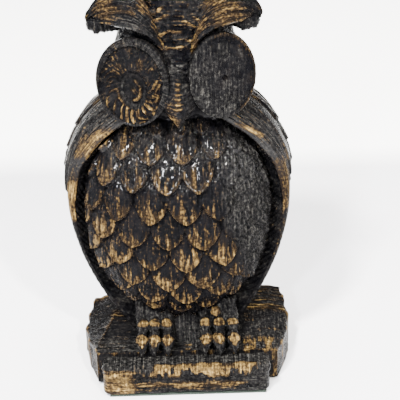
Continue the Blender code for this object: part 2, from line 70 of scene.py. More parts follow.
def window(x, a, b, c, d):
    """The product of two smooth steps: 1 between b and d, and 0 beyond a and c."""
    return smoothstep(a, b, x) * smoothstep(c, d, x)


def bump_at(x, centre, width):
    """A bell of height 1 about a centre."""
    return np.exp(-(((x - centre) / width) ** 2))


def power(x, exponent):
    """Signed power, for squarish ovals."""
    return np.sign(x) * np.abs(x) ** exponent


def lattice(i, j, seed):
    """A repeatable random value from 0 to 1 for each pair of whole numbers."""
    h = (i.astype(np.int64) * 374761393 + j.astype(np.int64) * 668265263 + seed * 1442695041) & 0xFFFFFFFF
    h = ((h ^ (h >> 13)) * 1274126177) & 0xFFFFFFFF
    return ((h ^ (h >> 16)) & 0xFFFF) / 65535.0


def noise(x, y, seed=0):
    """Random values on a unit lattice, blended smoothly: 0 to 1."""
    i, j = np.floor(x), np.floor(y)
    fx, fy = x - i, y - j
    fx, fy = fx * fx * (3 - 2 * fx), fy * fy * (3 - 2 * fy)
    a = lattice(i, j, seed) * (1 - fx) + lattice(i + 1, j, seed) * fx
    b = lattice(i, j + 1, seed) * (1 - fx) + lattice(i + 1, j + 1, seed) * fx
    return a * (1 - fy) + b * fy


def rough(x, y, seed=0, octaves=3):
    """Sum of noise at halving sizes: 0 to 1."""
    weight, result = 0.0, np.zeros(np.broadcast(x, y).shape)
    for k in range(octaves):
        result = result + noise(x * 2**k, y * 2**k, seed + 11 * k) * 0.5**k
        weight += 0.5**k
    return result / weight


def through(points, at):
    """Smooth curve through (place, value) points, with the slope at each point that of its neighbours."""
    places = np.array([p[0] for p in points], float)
    values = np.array([p[1] for p in points], float)
    slopes = np.gradient(values, places)
    at = np.clip(at, places[0], places[-1])
    i = np.clip(np.searchsorted(places, at, side="right") - 1, 0, len(places) - 2)
    span = places[i + 1] - places[i]
    t = (at - places[i]) / span
    return (
        (2 * t**3 - 3 * t**2 + 1) * values[i]
        + (t**3 - 2 * t**2 + t) * span * slopes[i]
        + (3 * t**2 - 2 * t**3) * values[i + 1]
        + (t**3 - t**2) * span * slopes[i + 1]
    )


def even_along(points, count):
    """Resample a polyline (k x 2 or k x 3) at equal steps of its length."""
    steps = np.linalg.norm(np.diff(points, axis=0), axis=1)
    length = np.concatenate([[0], np.cumsum(steps)])
    wanted = np.linspace(0, length[-1], count)
    return np.stack([np.interp(wanted, length, points[:, k]) for k in range(points.shape[1])], axis=1)


# ---------------------------------------------------------------- surfaces


def full_turn(count):
    """One row of angles that go once round in equal steps."""
    return np.linspace(0, TAU, count, endpoint=False)[None, :]


def oval_ball(centre, half, levels, count):
    """Rings of an oval ball from pole to pole: each level is an oval whose size is the cosine of its tilt."""
    turn = full_turn(count)
    tilt = np.linspace(-0.49, 0.49, levels)[:, None] * math.pi
    x = centre[0] + half[0] * np.cos(tilt) * np.cos(turn)
    y = centre[1] + half[1] * np.cos(tilt) * np.sin(turn)
    z = centre[2] + half[2] * np.sin(tilt) + 0 * turn
    return x, y, z


def ring_normals(rings):
    """Outward unit normals of a stack of closed rings: the cross product of its two directions."""
    along = np.roll(rings, -1, axis=1) - np.roll(rings, 1, axis=1)
    up = np.gradient(rings, axis=0)
    normals = np.cross(along, up)
    outward = rings - rings.mean(axis=1, keepdims=True)
    if (normals * outward).sum() < 0:
        normals = -normals
    return normals / np.maximum(np.linalg.norm(normals, axis=2, keepdims=True), 1e-9)


def raised(rings, height):
    """The stack of rings moved out along its normals."""
    return rings + ring_normals(rings) * height[..., None]


def set_at(rings, side, shift):
    """The stack of rings, mirrored if side is -1, and shifted along x."""
    return rings * np.array([side, 1.0, 1.0]) + np.array([1.0, 0, 0]) * shift


def ring_faces(count, points):
    """Quads between neighbouring rings, and a fan to one extra point at each end."""
    i = np.arange(count - 1)[:, None] * points
    j = np.arange(points)[None, :]
    k = (j + 1) % points
    quads = np.stack([i + j, i + k, i + k + points, i + j + points], axis=-1).reshape(-1, 4)
    j, k = j[0], k[0]
    last = (count - 1) * points
    bottom = np.stack([k, j, np.full(points, count * points)], axis=-1)
    top = np.stack([last + j, last + k, np.full(points, count * points + 1)], axis=-1)
    return quads, bottom, top


def shell(rings, gold, wear_and_sheen, brush):
    """Vertices, faces and per-vertex maps of a closed stack of rings, its faces turned outwards.

    gold is the share of paint on the surface, the second map how far it is rubbed grey (real rubbing in most places,
    painted sheen and glints in some), and brush the way the paint was dragged.
    """
    count, points, _ = rings.shape
    quads, bottom, top = ring_faces(count, points)
    verts = np.vstack([rings.reshape(-1, 3), rings[0].mean(axis=0), rings[-1].mean(axis=0)])
    a, b, c, d = (verts[quads[:, n]] for n in range(4))
    volume = (a * np.cross(b, c)).sum() + (a * np.cross(c, d)).sum()
    for fan in (bottom, top):
        a, b, c = (verts[fan[:, n]] for n in range(3))
        volume += (a * np.cross(b, c)).sum()
    if volume < 0:
        quads, bottom, top = quads[:, ::-1], bottom[:, ::-1], top[:, ::-1]
    flat = {}
    for key, values in (("gold", gold), ("wear_and_sheen", wear_and_sheen), ("brush", brush)):
        values = np.broadcast_to(values, rings.shape[:2] + np.shape(values)[2:])
        tail = values.shape[2:]
        flat[key] = np.concatenate(
            [values.reshape((-1, *tail)), values[0].mean(axis=0)[None], values[-1].mean(axis=0)[None]]
        )
    return verts, quads.tolist() + bottom.tolist() + top.tolist(), flat


def piece(node, kind, shells, material):
    """One object from closed shells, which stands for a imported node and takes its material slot."""
    name = node + "_" + kind
    verts, faces, start = [], [], 0
    for points, polygons, _ in shells:
        verts.append(points)
        faces += [[n + start for n in polygon] for polygon in polygons]
        start += len(points)
    mesh = bpy.data.meshes.new(name)
    mesh.from_pydata((np.vstack(verts) * MM).tolist(), [], faces)
    for key in ("gold", "wear_and_sheen", "brush"):
        sort, field = ("FLOAT_VECTOR", "vector") if key == "brush" else ("FLOAT", "value")
        values = np.concatenate([maps[key] for _, _, maps in shells])
        layer = mesh.attributes.new(key, sort, "POINT")
        layer.data.foreach_set(field, values.astype(np.float32).ravel())
    mesh.polygons.foreach_set("use_smooth", [True] * len(mesh.polygons))
    mesh.materials.append(material)
    obj = bpy.data.objects.new(name, mesh)
    bpy.context.scene.collection.objects.link(obj)
    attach(obj, "root")
    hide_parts(node)


def brush_map(across, along, offset=0.0):
    """Coordinates in millimetres across and along the direction in which paint was dragged."""
    across, along = np.broadcast_arrays(across, along)
    return np.stack([across, along, np.broadcast_to(offset, across.shape)], axis=-1)


# ---------------------------------------------------------------- feathers


def feather_coat(across, up, feathers, height, gold, brush, seed=0, edge_width=0.75):
    """Lay feathers over a surface from the lowest row up, each covering the roots of those below.

    Each feather is (tip across, tip up, half width, tip length, full length, lift, crown, gold).
    Its half width grows above the tip as (1 - (1 - s)^2.2)^0.72, with s the height over the tip length.
    Its surface is lift at the tip, falling to a fifth at its root, plus a crown that falls as the square across.
    Paint takes on the rim, and in streaks of uneven length that rise from it.
    """
    for number, (tip_x, tip_z, half, tip, length, lift, crown, paint) in enumerate(feathers):
        near = np.nonzero((np.abs(across - tip_x) < half + 2) & (up > tip_z - 2.5) & (up < tip_z + length))
        if near[0].size == 0:
            continue
        u, v = across[near] - tip_x, up[near] - tip_z
        u = u + 0.35 * (noise(v * 0.25, u * 0 + number, seed) - 0.5)
        s = np.clip(v / tip, 1e-4, 1)
        body = 1 - (1 - s) ** 2.2
        width = half * body**0.72
        steep = half * 0.72 * body**-0.28 * 2.2 * (1 - s) ** 1.2 / tip
        edge = (width - np.abs(u)) / np.sqrt(1 + steep**2)
        edge = np.where(v < 0, -np.hypot(u, v), edge)
        cover = smoothstep(0, edge_width, edge)
        under = np.exp(-((edge / 0.8) ** 2)) * (edge < 0)
        share = np.clip(v / length, 0, 1)
        rachis = bump_at(u, 0, 0.5) * smoothstep(0, 3, v)
        body_height = lift * (1 - 0.8 * share) + crown * np.clip(1 - (u / half) ** 2, 0, 1) * (1 - 0.4 * share)
        barbs = noise(u * 1.5 + 17 * number, v * 0.16, seed + 2) - 0.5
        body_height = body_height + 0.12 * rachis + barbs * lift * 0.48 * smoothstep(0.8, 2.2, edge)
        body_height += 0.22 * lift * (bump_at(edge, 0.9, 0.6) - bump_at(edge, 2.1, 0.7)) * (s < 0.95)
        fade = smoothstep(length, 0.8 * length, v)
        cover = cover * fade
        old = height[near] - 0.5 * lift * under
        height[near] = old * (1 - cover) + body_height * cover
        reach = tip * (0.1 + 1.25 * noise(u * 1.0 + 31 * number, v * 0.07, seed + 5) ** 1.2)
        streaks = smoothstep(reach + 1.5, reach - 2.5, v) * smoothstep(0.1, 0.8, edge)
        rim = bump_at(edge, 0.7, 0.75) * smoothstep(0.95, 0.35, s)
        side = bump_at(edge, 0.9, 0.7) * smoothstep(1.6 * tip, 0.6 * tip, v)
        hairs = 0.27 * smoothstep(0.2, 1.0, edge)
        strongest = np.maximum.reduce([0.95 * rim, 0.85 * streaks, 0.55 * side, hairs])
        painted = paint * np.clip(strongest, 0, 1)
        # Paint is thinned just outside each feather's outline: a painted shadow under the tip that laps over the
        # feathers below.
        gold[near] = gold[near] * (1 - 0.6 * under) * (1 - cover) + painted * cover
        fan = u * (1 - 0.25 * np.clip(1 - s, 0, 1))
        new = np.stack([fan, v, np.full_like(u, 7.3 * number)], axis=-1)
        brush[near] = np.where((cover > 0.5)[:, None], new, brush[near])
    return height, gold, brush


# ---------------------------------------------------------------- torso

# The owl sits a little to the left of the middle of its block.
TORSO_X, WING_X, HEAD_X = -2.2, -1.6, -1.2
TORSO_LOW, TORSO_HIGH = box_mm("torso")
BREAST_Y = -1.0
BREAST_HALF = TORSO_HIGH[0]
BREAST_DEPTH = BREAST_Y - TORSO_LOW[1]
BREAST_BOTTOM = 27.0
BREAST_MID = 86.0
BREAST_TOP = BREAST_MID + 44.0
NECK = TORSO_HIGH[2]
BACK = TORSO_HIGH[1]
TORSO_BACK_SHARE = 0.84
STUB_HALF = 19.0
STUB_FRONT = -5.4
STUB_TOP = 52.0


def breast_half(z):
    """Half width: half an ellipse above the widest height, and a slightly fuller one below it."""
    reach = np.where(z > BREAST_MID, BREAST_TOP - BREAST_MID, BREAST_MID - BREAST_BOTTOM)
    fullness = np.where(z > BREAST_MID, 2.0, 2.12)
    return BREAST_HALF * np.clip(1 - (np.abs(z - BREAST_MID) / reach) ** fullness, 0, 1) ** (1 / fullness)


def torso_side(z, y):
    """Half width behind the breast's widest line, tapering in a straight line to the back."""
    half = breast_half(z)
    share = np.clip((y - BREAST_Y) / (BACK - BREAST_Y), 0, 1)
    return half * (1 + (TORSO_BACK_SHARE - 1) * share)


def torso_rings():
    """Rings from the stub's foot to the neck.

    Each ring is the farther, in every direction from (0, 14), of the egg's section and the stub's rectangle.
    The egg's section is half an ellipse in front, and straight sides to a flat back.
    """
    centre_y = 14.0
    front = np.linspace(-1, 1, 300)
    front_angle = np.sign(front) * np.abs(front) ** 0.93 * math.radians(112)
    rest = np.linspace(math.radians(112), TAU - math.radians(112), 62)[1:-1]
    angle = np.concatenate([front_angle, rest])
    ex, ey = np.sin(angle), -np.cos(angle)
    lower = np.linspace(0.02, math.pi / 2, 150)
    upper = np.linspace(0, math.asin((NECK - BREAST_MID) / (BREAST_TOP - BREAST_MID)), 84)[1:]
    heights = np.concatenate(
        [
            np.linspace(TORSO_LOW[2], BREAST_BOTTOM - 0.2, 8),
            BREAST_MID - (BREAST_MID - BREAST_BOTTOM) * np.cos(lower),
            BREAST_MID + (BREAST_TOP - BREAST_MID) * np.sin(upper),
        ]
    )
    z = heights[:, None]
    half = np.maximum(breast_half(z), 1e-3)
    half = np.where(z < BREAST_BOTTOM, 1e-3, half)
    depth = half * BREAST_DEPTH / BREAST_HALF
    # Distance to the front half ellipse, from the quadratic for a ray that starts behind its centre.
    drop = BREAST_Y - centre_y
    a = (ex / half) ** 2 + (ey / depth) ** 2
    b = -2 * ey * drop / depth**2
    c = (drop / depth) ** 2 - 1
    root = b * b - 4 * a * c
    to_front = np.where(root > 0, (-b + np.sqrt(np.maximum(root, 0))) / (2 * a), 0)
    hit_y = centre_y + to_front * ey
    to_front = np.where(hit_y <= BREAST_Y + 1e-6, to_front, 0)
    # Distance to the tapering side and to the back plane.
    taper = half * (1 - TORSO_BACK_SHARE) / (BACK - BREAST_Y)
    side_at = half - taper * (centre_y - BREAST_Y)
    slope = np.abs(ex) + taper * ey
    to_side = np.where(slope > 1e-6, side_at / np.maximum(slope, 1e-6), 1e6)
    to_back = np.where(ey > 1e-6, (BACK - centre_y) / np.maximum(ey, 1e-6), 1e6)
    to_side = np.minimum(to_side, to_back)
    egg = np.where(to_front > 0, to_front, to_side)
    egg = np.where(z < BREAST_BOTTOM, 0, egg)
    stub = np.minimum(
        STUB_HALF / np.maximum(np.abs(ex), 1e-6),
        np.where(ey < 0, (centre_y - STUB_FRONT) / np.maximum(-ey, 1e-6), (BACK - centre_y) / np.maximum(ey, 1e-6)),
    )
    stub = np.where(z < STUB_TOP, stub, 0)
    reach = np.maximum(egg, stub)
    rings = np.stack([reach * ex, centre_y + reach * ey, np.broadcast_to(z, reach.shape)], axis=-1)
    return rings, half


def breast_feathers():
    """Rows of feathers from the belly to the throat: tip places, sizes and how much paint they hold."""
    rng = np.random.default_rng(8)
    rows = (
        # tip height, first tip, pitch, how many, rise to the sides, tip length, lift, crown, paint
        (29.5, -11.0, 9.0, 4, 0.006, 5.5, 0.9, 0.5, 0.55),
        (35.8, -24.2, 12.2, 5, 0.0085, 7.5, 1.2, 0.7, 0.72),
        (43.3, -43.1, 15.4, 7, 0.0066, 9.0, 1.6, 1.5, 0.94),
        (51.6, -37.0, 15.8, 6, 0.0056, 10.0, 1.8, 1.8, 0.96),
        (62.2, -43.1, 15.6, 6, 0.0030, 10.5, 1.9, 2.0, 0.92),
        (73.2, -50.1, 15.4, 7, 0.0020, 11.0, 2.0, 2.0, 0.84),
        (85.6, -41.7, 15.0, 6, 0.0010, 11.5, 2.0, 2.1, 0.72),
        (98.6, -46.2, 14.0, 7, 0.0012, 12.0, 2.1, 2.4, 0.66),
        (111.0, -36.5, 13.3, 6, 0.0008, 9.5, 2.2, 2.6, 0.66),
        (121.0, -27.0, 9.6, 7, 0.0, 6, 1.8, 2.0, 0.45),
    )
    feathers = []
    for height, first, pitch, count, rise, tip, lift, crown, paint in rows:
        for k in range(count):
            x = first + pitch * k + rng.uniform(-0.7, 0.7)
            z = height + rise * x**2 + rng.uniform(-0.6, 0.6)
            half = pitch * rng.uniform(0.5, 0.55)
            worn = float(smoothstep(24, 31, x) * smoothstep(50, 60, z))
            worn = max(worn, float(smoothstep(15, 22, x) * smoothstep(92, 98, z)))
            strength = paint * rng.uniform(0.82, 1.08) * (1 - worn)
            reach = tip * rng.uniform(0.92, 1.1)
            feathers.append((x, z, half, reach, 21, lift * (1 - 0.6 * worn), crown * (1 - 0.55 * worn), strength))
    return feathers


def make_torso(material):
    """The breast with its coat of feathers, a plain ridge down each side and a worn, crackled right flank."""
    rings, half = torso_rings()
    x, y, z = rings[..., 0], rings[..., 1], rings[..., 2]
    front = smoothstep(4, -3, y) * smoothstep(BREAST_BOTTOM, BREAST_BOTTOM + 1.5, z)
    # Length of arc from the middle line, close to the half ellipse's own.
    turn = np.arcsin(np.clip(x / np.maximum(half, 1), -1, 1))
    across = x * (1 + 0.12 * np.abs(turn) ** 2.2)
    height = np.zeros(x.shape)
    gold = np.zeros(x.shape)
    brush = brush_map(across, z).copy()
    feather_coat(across, z, breast_feathers(), height, gold, brush, seed=3)
    border = np.abs(turn) / math.radians(90)
    field = smoothstep(0.86, 0.72, border)
    height *= field
    gold *= smoothstep(0.88, 0.76, border)
    ridge = bump_at(border, 0.83, 0.035) * window(z, 34, 50, 124, 112)
    height += 1.1 * ridge
    gold = np.maximum(gold, 0.30 * ridge * (x < 0))
    edge_x = 20 + 10 * smoothstep(95, 50, z) + 3 * (noise(z * 0.16, z * 0, 33) - 0.5)
    worn = smoothstep(edge_x - 3, edge_x + 4, x) * smoothstep(34, 52, z) * front
    crackle = rough(x * 0.8, z * 0.8, 21, 4) - 0.5
    height += worn * (2.4 * crackle + 0.9 * (rough(x * 0.22, z * 0.22, 5, 2) - 0.5))
    height += 0.7 * (rough(x * 0.6, z * 0.2, 9, 4) - 0.5)
    height *= front
    gold = gold * front * (1 - 0.85 * worn)
    # The grey from z = 98 to 112 is a painted highlight, standing in for glints on the upper breast's gloss; the
    # small even share below it is rubbing.
    scuff_and_sheen = (0.08 + 0.34 * smoothstep(98, 112, z) * smoothstep(0.4, 0.6, rough(x * 0.3, z * 0.2, 19, 2))) * front
    wear_and_sheen = np.maximum(0.66 * worn, scuff_and_sheen)
    rings = set_at(raised(rings, height), 1, TORSO_X)
    piece("torso", "feathered", [shell(rings, gold, wear_and_sheen, brush)], material)


# ---------------------------------------------------------------- wings

WING_LOW, WING_HIGH = box_mm("wing_right")
WING_OUTLINE = ((0, 0.505), (0.165, 0.724), (0.4, 0.928), (0.62, 1), (0.81, 0.93), (0.935, 0.752), (1, 0.581))
WING_LIP = ((0, 3.5), (0.62, 4.4), (0.75, 7), (0.865, 11), (0.95, 15), (1, 16))
WING_FRONT = ((0, -3), (0.2, -5), (0.45, -7), (0.7, -8), (0.865, -11.5), (1, -15))
WING_WIDEST_Y = 8.0
# Place across the lip and depth of the long grooves on the shoulder.
SHOULDER_GROOVES = ((0.32, 0.75), (0.46, 0.55), (0.58, 0.5), (0.72, 0.35))
# Slanting cuts along the inside of each wing.
HATCH_PITCH = 3.6


def wing_rings(levels=230):
    """Rings of the right wing from its foot to the shoulder.

    Each runs over the outer skin from the back forwards, round the front lip as a quarter of a squarish oval,
    and back along the lining beside the torso. Also returned: the part of the ring (0 to 1 outer skin, 1 to 2
    lip, 2 to 3 lining).
    """
    share = np.linspace(0, 1, levels)[:, None]
    z = WING_LOW[2] + (WING_HIGH[2] - WING_LOW[2]) * share
    width = (WING_HIGH[0] - 1.1) * through(WING_OUTLINE, share)
    lip = through(WING_LIP, share)
    front = through(WING_FRONT, share)
    skin = np.linspace(0, 1, 84)[None, :]
    y = BACK + (WING_WIDEST_Y - BACK) * skin
    skin_x = width * (1 - 0.11 * ((y - WING_WIDEST_Y) / (BACK - WING_WIDEST_Y)) ** 2)
    skin_y = np.broadcast_to(y, skin_x.shape)
    inside = np.maximum(torso_side(z, BREAST_Y), np.where(z < STUB_TOP, STUB_HALF, 0)) + 0.6
    inside = np.where(z > NECK - 1, np.maximum(inside, 19), inside)
    lip_x = np.maximum(width - lip, inside)
    turn = np.linspace(0, 1, 44)[None, 1:] * math.pi / 2
    blunt = 0.55 + 0.3 * smoothstep(0.70, 0.95, share)
    nose_x = lip_x + (width - lip_x) * np.cos(turn) ** blunt
    nose_y = WING_WIDEST_Y - (WING_WIDEST_Y - front) * np.sin(turn) ** blunt
    lining = np.linspace(0, 1, 50)[None, 1:]
    slope = np.clip(lining / 0.55, 0, 1)
    lining_y = front + (1.5 - front) * slope + (BACK - 1.5) * np.clip((lining - 0.55) / 0.45, 0, 1) ** 1.6
    bed = np.maximum(torso_side(z, lining_y), np.where(z < STUB_TOP, STUB_HALF, 0)) - 0.4
    bed = np.where(z > NECK - 1, np.maximum(bed, 19), bed)
    lining_x = lip_x + (np.minimum(bed, lip_x) - lip_x) * (0.8 * slope + 0.2 * slope**3)
    xs = np.concatenate([skin_x, nose_x, lining_x], axis=1)
    ys = np.concatenate([skin_y, nose_y, lining_y], axis=1)
    parts = np.concatenate([skin[0], 1 + turn[0] / (math.pi / 2), 2 + lining[0]])
    rings = np.stack([xs, ys, np.broadcast_to(z, xs.shape)], axis=-1)
    return rings, parts[None, :]


def wing_coverts(side):
    """Rows of rounded covert feathers on the outer side of the shoulder, and long flight feathers below."""
    rng = np.random.default_rng(20 + side)
    feathers = []
    for k in range(5):
        feathers.append((33 - 5.4 * k, 22 + 4.5 * k, 4.4, 16, 74, 0.9, 0.6, 0.34))
    for row, height in enumerate((84, 94, 104, 114)):
        for k in range(5):
            y = 33 - 7 * k - 3.5 * (row % 2)
            z = height + 0.35 * (20 - y) + rng.uniform(-0.5, 0.5)
            feathers.append((y, z, 3.9, 6.5, 16, 0.85, 0.5, rng.uniform(0.3, 0.5)))
    return feathers


def make_wing(node, side, material):
    """A wing: long grooves beside the front lip, a thin outer layer that ends half way down, and gold on the lip."""
    rings, part = wing_rings()
    x, y, z = rings[..., 0], rings[..., 1], rings[..., 2]
    part = np.broadcast_to(part, x.shape)
    skin = smoothstep(1.02, 0.92, part)
    lip = ((part > 1) & (part <= 2)).astype(float)
    nose = np.clip(part - 1, 0, 1)
    lining = smoothstep(2.02, 2.08, part)
    height = np.zeros(x.shape)
    gold = np.zeros(x.shape)
    brush = brush_map(y, z).copy()
    feather_coat(y, z, wing_coverts(side), height, gold, brush, seed=40 + side)
    height *= skin
    gold *= skin
    layer_end = 91 if side < 0 else 96
    rear = smoothstep(1.34, 1.26, part) * (part < 2.0)
    layer = rear * smoothstep(layer_end - 1.0, layer_end + 1.2, z + 2.0 * (nose - 0.15))
    height += 1.0 * layer
    shoulder = smoothstep(80, 104, z)
    wander = 0.03 * (noise(z * 0.07, z * 0, 3 + side) - 0.5)
    for place, deep in SHOULDER_GROOVES:
        height -= deep * lip * shoulder * bump_at(nose, place + wander, 0.035)
    strands = np.sin(TAU * (nose * 11 + 0.9 * noise(z * 0.05, nose * 3, 8 + side)))
    height += 0.14 * strands * lip * shoulder
    height += 0.3 * (rough(nose * 9 + part, z * 0.12, 14 + side, 3) - 0.5) * (lip + 0.5 * skin)
    hatch = np.sin(TAU * (z + 1.4 * y + 1.2 * noise(z * 0.2, y * 0.2, 77 + side)) / HATCH_PITCH)
    inner = smoothstep(2.0, 2.08, part) * smoothstep(2.56, 2.5, part)
    height = height + 0.45 * hatch * inner + 0.5 * (rough(z * 0.3, part * 9, 78 + side, 3) - 0.5) * inner
    height += 0.2 * hatch * lip * smoothstep(86, 76, z) * smoothstep(0.5, 0.8, nose)
    band = smoothstep(0.30, 0.48, nose) * smoothstep(2.06, 1.99, part)
    patch = rough(z * 0.13, nose * 2.2, 50 + side, 2)
    if side < 0:
        reach = window(z, 74, 82, 128, 121)
        upper = smoothstep(108, 116, z)
        gold_band = band * reach * (0.40 + 0.65 * smoothstep(0.3, 0.6, patch)) * (1 - 0.6 * bump_at(z, 107, 4))
        gold_band = gold_band * (1 - 0.45 * smoothstep(104, 110, z) * smoothstep(0.75, 0.5, nose))
        top = 0.55 * upper * smoothstep(0.2, 0.5, nose) * lip * smoothstep(127, 122, z) * patch
        gold_band = np.maximum(gold_band, top)
    else:
        gold_band = 1.2 * bump_at(z - 14 * (nose - 0.86), 122.5, 3.6) * bump_at(nose, 0.84, 0.13) * lip
        middle = window(z, 76, 84, 110, 104) * (0.35 + 0.55 * patch)
        foot = window(z, 46, 60, 84, 74) * 0.36
        gold_band = np.maximum(gold_band, band * np.maximum(middle, foot))
    gold = np.maximum(gold, gold_band)
    lines = smoothstep(0.35, 0.9, strands) * lip * shoulder * 0.44
    gold = np.maximum(gold, lines)
    gold = np.maximum(gold, 0.34 * bump_at(nose, 0.02, 0.1) * smoothstep(60, 84, z) * (part < 1.4))
    gold = gold * (1 - lining) + 0.24 * inner * smoothstep(0.2, 0.9, hatch) * smoothstep(40, 60, z)
    wear_and_sheen = 0.5 * lip * smoothstep(100, 114, z) + 0.25 * lip + 0.3 * inner
    brush[..., 0] = np.where(part > 1, nose * 16, brush[..., 0])
    brush[..., 1] = np.where(part > 1, z, brush[..., 1])
    rings = raised(rings, height)
    rings[..., 1] = np.minimum(rings[..., 1], BACK)
    piece(node, "feathered", [shell(set_at(rings, side, WING_X), gold, wear_and_sheen, brush)], material)


# ---------------------------------------------------------------- head

HEAD_LOW, HEAD_HIGH = box_mm("head")
HEAD_SECTIONS = (
    # height above the neck, half width, front, back
    (0, 23.5, -12, 30),
    (8, 24.0, -14, 32.5),
    (16, 26.2, -16, 34),
    (26, 27.0, -17, 34.8),
    (38, 24.2, -17, 35),
    (48, 24.6, -16, 34.6),
    (55, 23.6, -13, 32),
    (59.8, 18, -6, 25),
    (62, 3, 6, 14),
)


# Half a brow, from beside the beak to its point: distance from the middle, depth and height of its two edges.
BROW_LIP = (
    (5.4, -18.6, 160.0),
    (6.6, -20.6, 164.4),
    (8.6, -21.3, 167.8),
    (11.4, -21.6, 170.8),
    (15.4, -21.4, 172.8),
    (20.6, -19.8, 174.1),
    (25.8, -17.0, 174.5),
    (30.4, -13.2, 174.2),
    (34.4, -9.4, 173.2),
    (36.9, -7.0, 173.4),
)
BROW_CROWN = (
    (5.3, -18.4, 160.6),
    (7.4, -19.0, 166.6),
    (9.4, -18.0, 172.6),
    (11.2, -15.4, 178.6),
    (14.0, -11.5, 184.0),
    (19.5, -8.5, 187.0),
    (26.0, -7.0, 186.2),
    (31.6, -6.4, 182.6),
    (35.4, -6.2, 178.0),
    (37.0, -6.6, 174.4),
)

# Half width of the ridge between the eyes, by height.
RIDGE_HALF_WIDTH = ((147, 3.2), (152, 4.4), (158, 5.2), (163, 6.2), (168, 9.0), (177, 10.6), (188, 12.5))
# Both brows sit this much nearer the front, and lower, than the figures for their edges.
BROW_DROP = -1.2
# The middle of the torn lump under each brow's point.
BROW_END = (28.8, -10.0, 171.9)
# Furrows across the forehead, and the rows of scales behind it: how many, the lowest, their rise and their pitch.
FURROW_PITCH = 3.5
SCALE_ROWS, SCALE_LOWEST, SCALE_RISE, SCALE_PITCH = 14, 130, 4.4, 4.9


def head_core():
    """Rings of the head: squarish ovals whose size follows the sections, closing smoothly at the crown."""
    front = np.linspace(-1, 1, 208)
    front_angle = np.sign(front) * np.abs(front) ** 1.05 * math.radians(105)
    rest = np.linspace(math.radians(105), TAU - math.radians(105), 66)[1:-1]
    angle = np.concatenate([front_angle, rest])
    heights = np.concatenate([np.linspace(0, 56, 160), 56 + 6 * np.sin(np.linspace(0, math.pi / 2, 40))[1:]])
    rise = heights[:, None]
    half, near, far = (through([(s[0], s[k]) for s in HEAD_SECTIONS], rise) for k in (1, 2, 3))
    ex, ey = np.sin(angle)[None, :], -np.cos(angle)[None, :]
    centre, depth = (near + far) / 2, (far - near) / 2
    stretch = (np.abs(ex / half) ** 2.6 + np.abs(ey / depth) ** 2.6) ** (-1 / 2.6)
    x, y = stretch * ex, centre + stretch * ey
    z = np.broadcast_to(HEAD_LOW[2] + rise, x.shape)
    rings = np.stack([x, y, z], axis=-1)
    return rings, angle


def brow(side):
    """A brow: a three-cornered section, carried from beside the beak up and out to a point.

    Its face runs from the overhanging lip to the crown and swells as the root of a sine; the other two sides are
    straight and meet inside the head. Strands follow lines of equal share of the face.
    """
    t = np.linspace(0, 1, 170)
    places = np.linspace(0, 1, len(BROW_LIP))
    lip, crown = (
        np.stack([through([(a, row[k]) for a, row in zip(places, edge)], t) for k in range(3)], axis=1)
        for edge in (BROW_LIP, BROW_CROWN)
    )
    across = crown - lip
    tall = np.linalg.norm(across, axis=1, keepdims=True)
    normal = np.cross(across, np.gradient(lip + crown, axis=0))
    normal = normal * np.sign(-normal[:, 1:2])
    normal = normal / np.maximum(np.linalg.norm(normal, axis=1, keepdims=True), 1e-9)
    root = np.stack([lip[:, 0] * 0.78, lip[:, 1] * 0.3 + 1.5, (lip[:, 2] + crown[:, 2]) / 2 - 0.5], axis=1)
    face, rest = np.linspace(0, 1, 78), np.linspace(0, 1, 13)[1:]
    swell = np.sin(math.pi * face) ** 0.6
    front = lip[:, None] + across[:, None] * face[:, None] + (normal * tall)[:, None] * 0.20 * swell[:, None]
    back = crown[:, None] + (root - crown)[:, None] * rest[:, None]
    under = root[:, None] + (lip - root)[:, None] * rest[:-1, None]
    rings = np.concatenate([front, back, under], axis=1)
    share = np.concatenate([face, np.ones(rest.size), np.zeros(rest.size - 1)])[None, :] + 0 * t[:, None]
    along = t[:, None] + 0 * share
    on_face = np.concatenate([np.ones(face.size), np.zeros(2 * rest.size - 1)])[None, :] + 0 * along
    wander = 0.9 * (noise(along * 6, share * 2.5, 141 + side) - 0.5)
    phase = share * 7 + wander
    strand = 0.5 + 0.5 * np.cos(TAU * phase)
    fine = 0.5 + 0.5 * np.cos(TAU * (2.6 * phase + noise(along * 9, share * 4, 143 + side)))
    ends = window(along, 0, 0.08, 1.0, 0.97)
    ragged = rough(along * 22, share * 7, 140 + side, 4) - 0.5
    torn = smoothstep(0.68, 0.86, along) * smoothstep(0.55, 0.15, share)
    height = ends * (0.62 * strand**0.8 + 0.30 * fine + 0.5 * ragged) * on_face
    height += ends * (2.2 * ragged - 0.4) * torn
    height += 0.5 * bump_at(share, 0.05, 0.04) * ends * on_face
    patch = rough(along * 7, share * 3, 145 + side, 3)
    gold = (0.30 + 0.13 * smoothstep(0.3, 0.9, strand) + 0.06 * fine) * (0.25 + 1.25 * smoothstep(0.3, 0.7, patch))
    gold = gold * on_face * (1 - 0.75 * torn) * (1 - 0.5 * smoothstep(0.75, 1.0, share))
    gold += 0.16 * torn * smoothstep(0.0, 0.3, ragged)
    wear_and_sheen = on_face * (0.25 + 0.6 * smoothstep(0.5, 0.9, fine) * smoothstep(0.5, 0.35, patch)) * (1 - 0.5 * torn)
    # The brows start nearer the ridge, which stands a little to the right, than they end.
    rings = set_at(raised(rings, height), side, HEAD_X + 2.0 - 1.6 * t[:, None, None])
    rings += np.array([0, BROW_DROP, BROW_DROP])
    brush = brush_map(share * 15, along * 44, 50.0 * side)
    return shell(rings, np.clip(gold, 0, 1), wear_and_sheen, brush)


def brow_end(side):
    """The torn lump that hangs under a brow's point: an oval roughened by noise at four sizes."""
    x, y, z = oval_ball(BROW_END, (7.6, 5.0, 4.6), 48, 72)
    z -= 0.10 * (x - BROW_END[0])
    lumps = rough(x * 0.55, z * 0.6 + y * 0.3, 150 + side, 4) - 0.5
    gold = 0.34 * smoothstep(0.05, 0.3, lumps)
    rings = np.stack([x, y, z], axis=-1)
    rings = set_at(raised(rings, 3.0 * lumps), side, HEAD_X + 0.4)
    return shell(rings, gold, 0.35 + 0 * gold, brush_map(x, z, 50.0 * side))


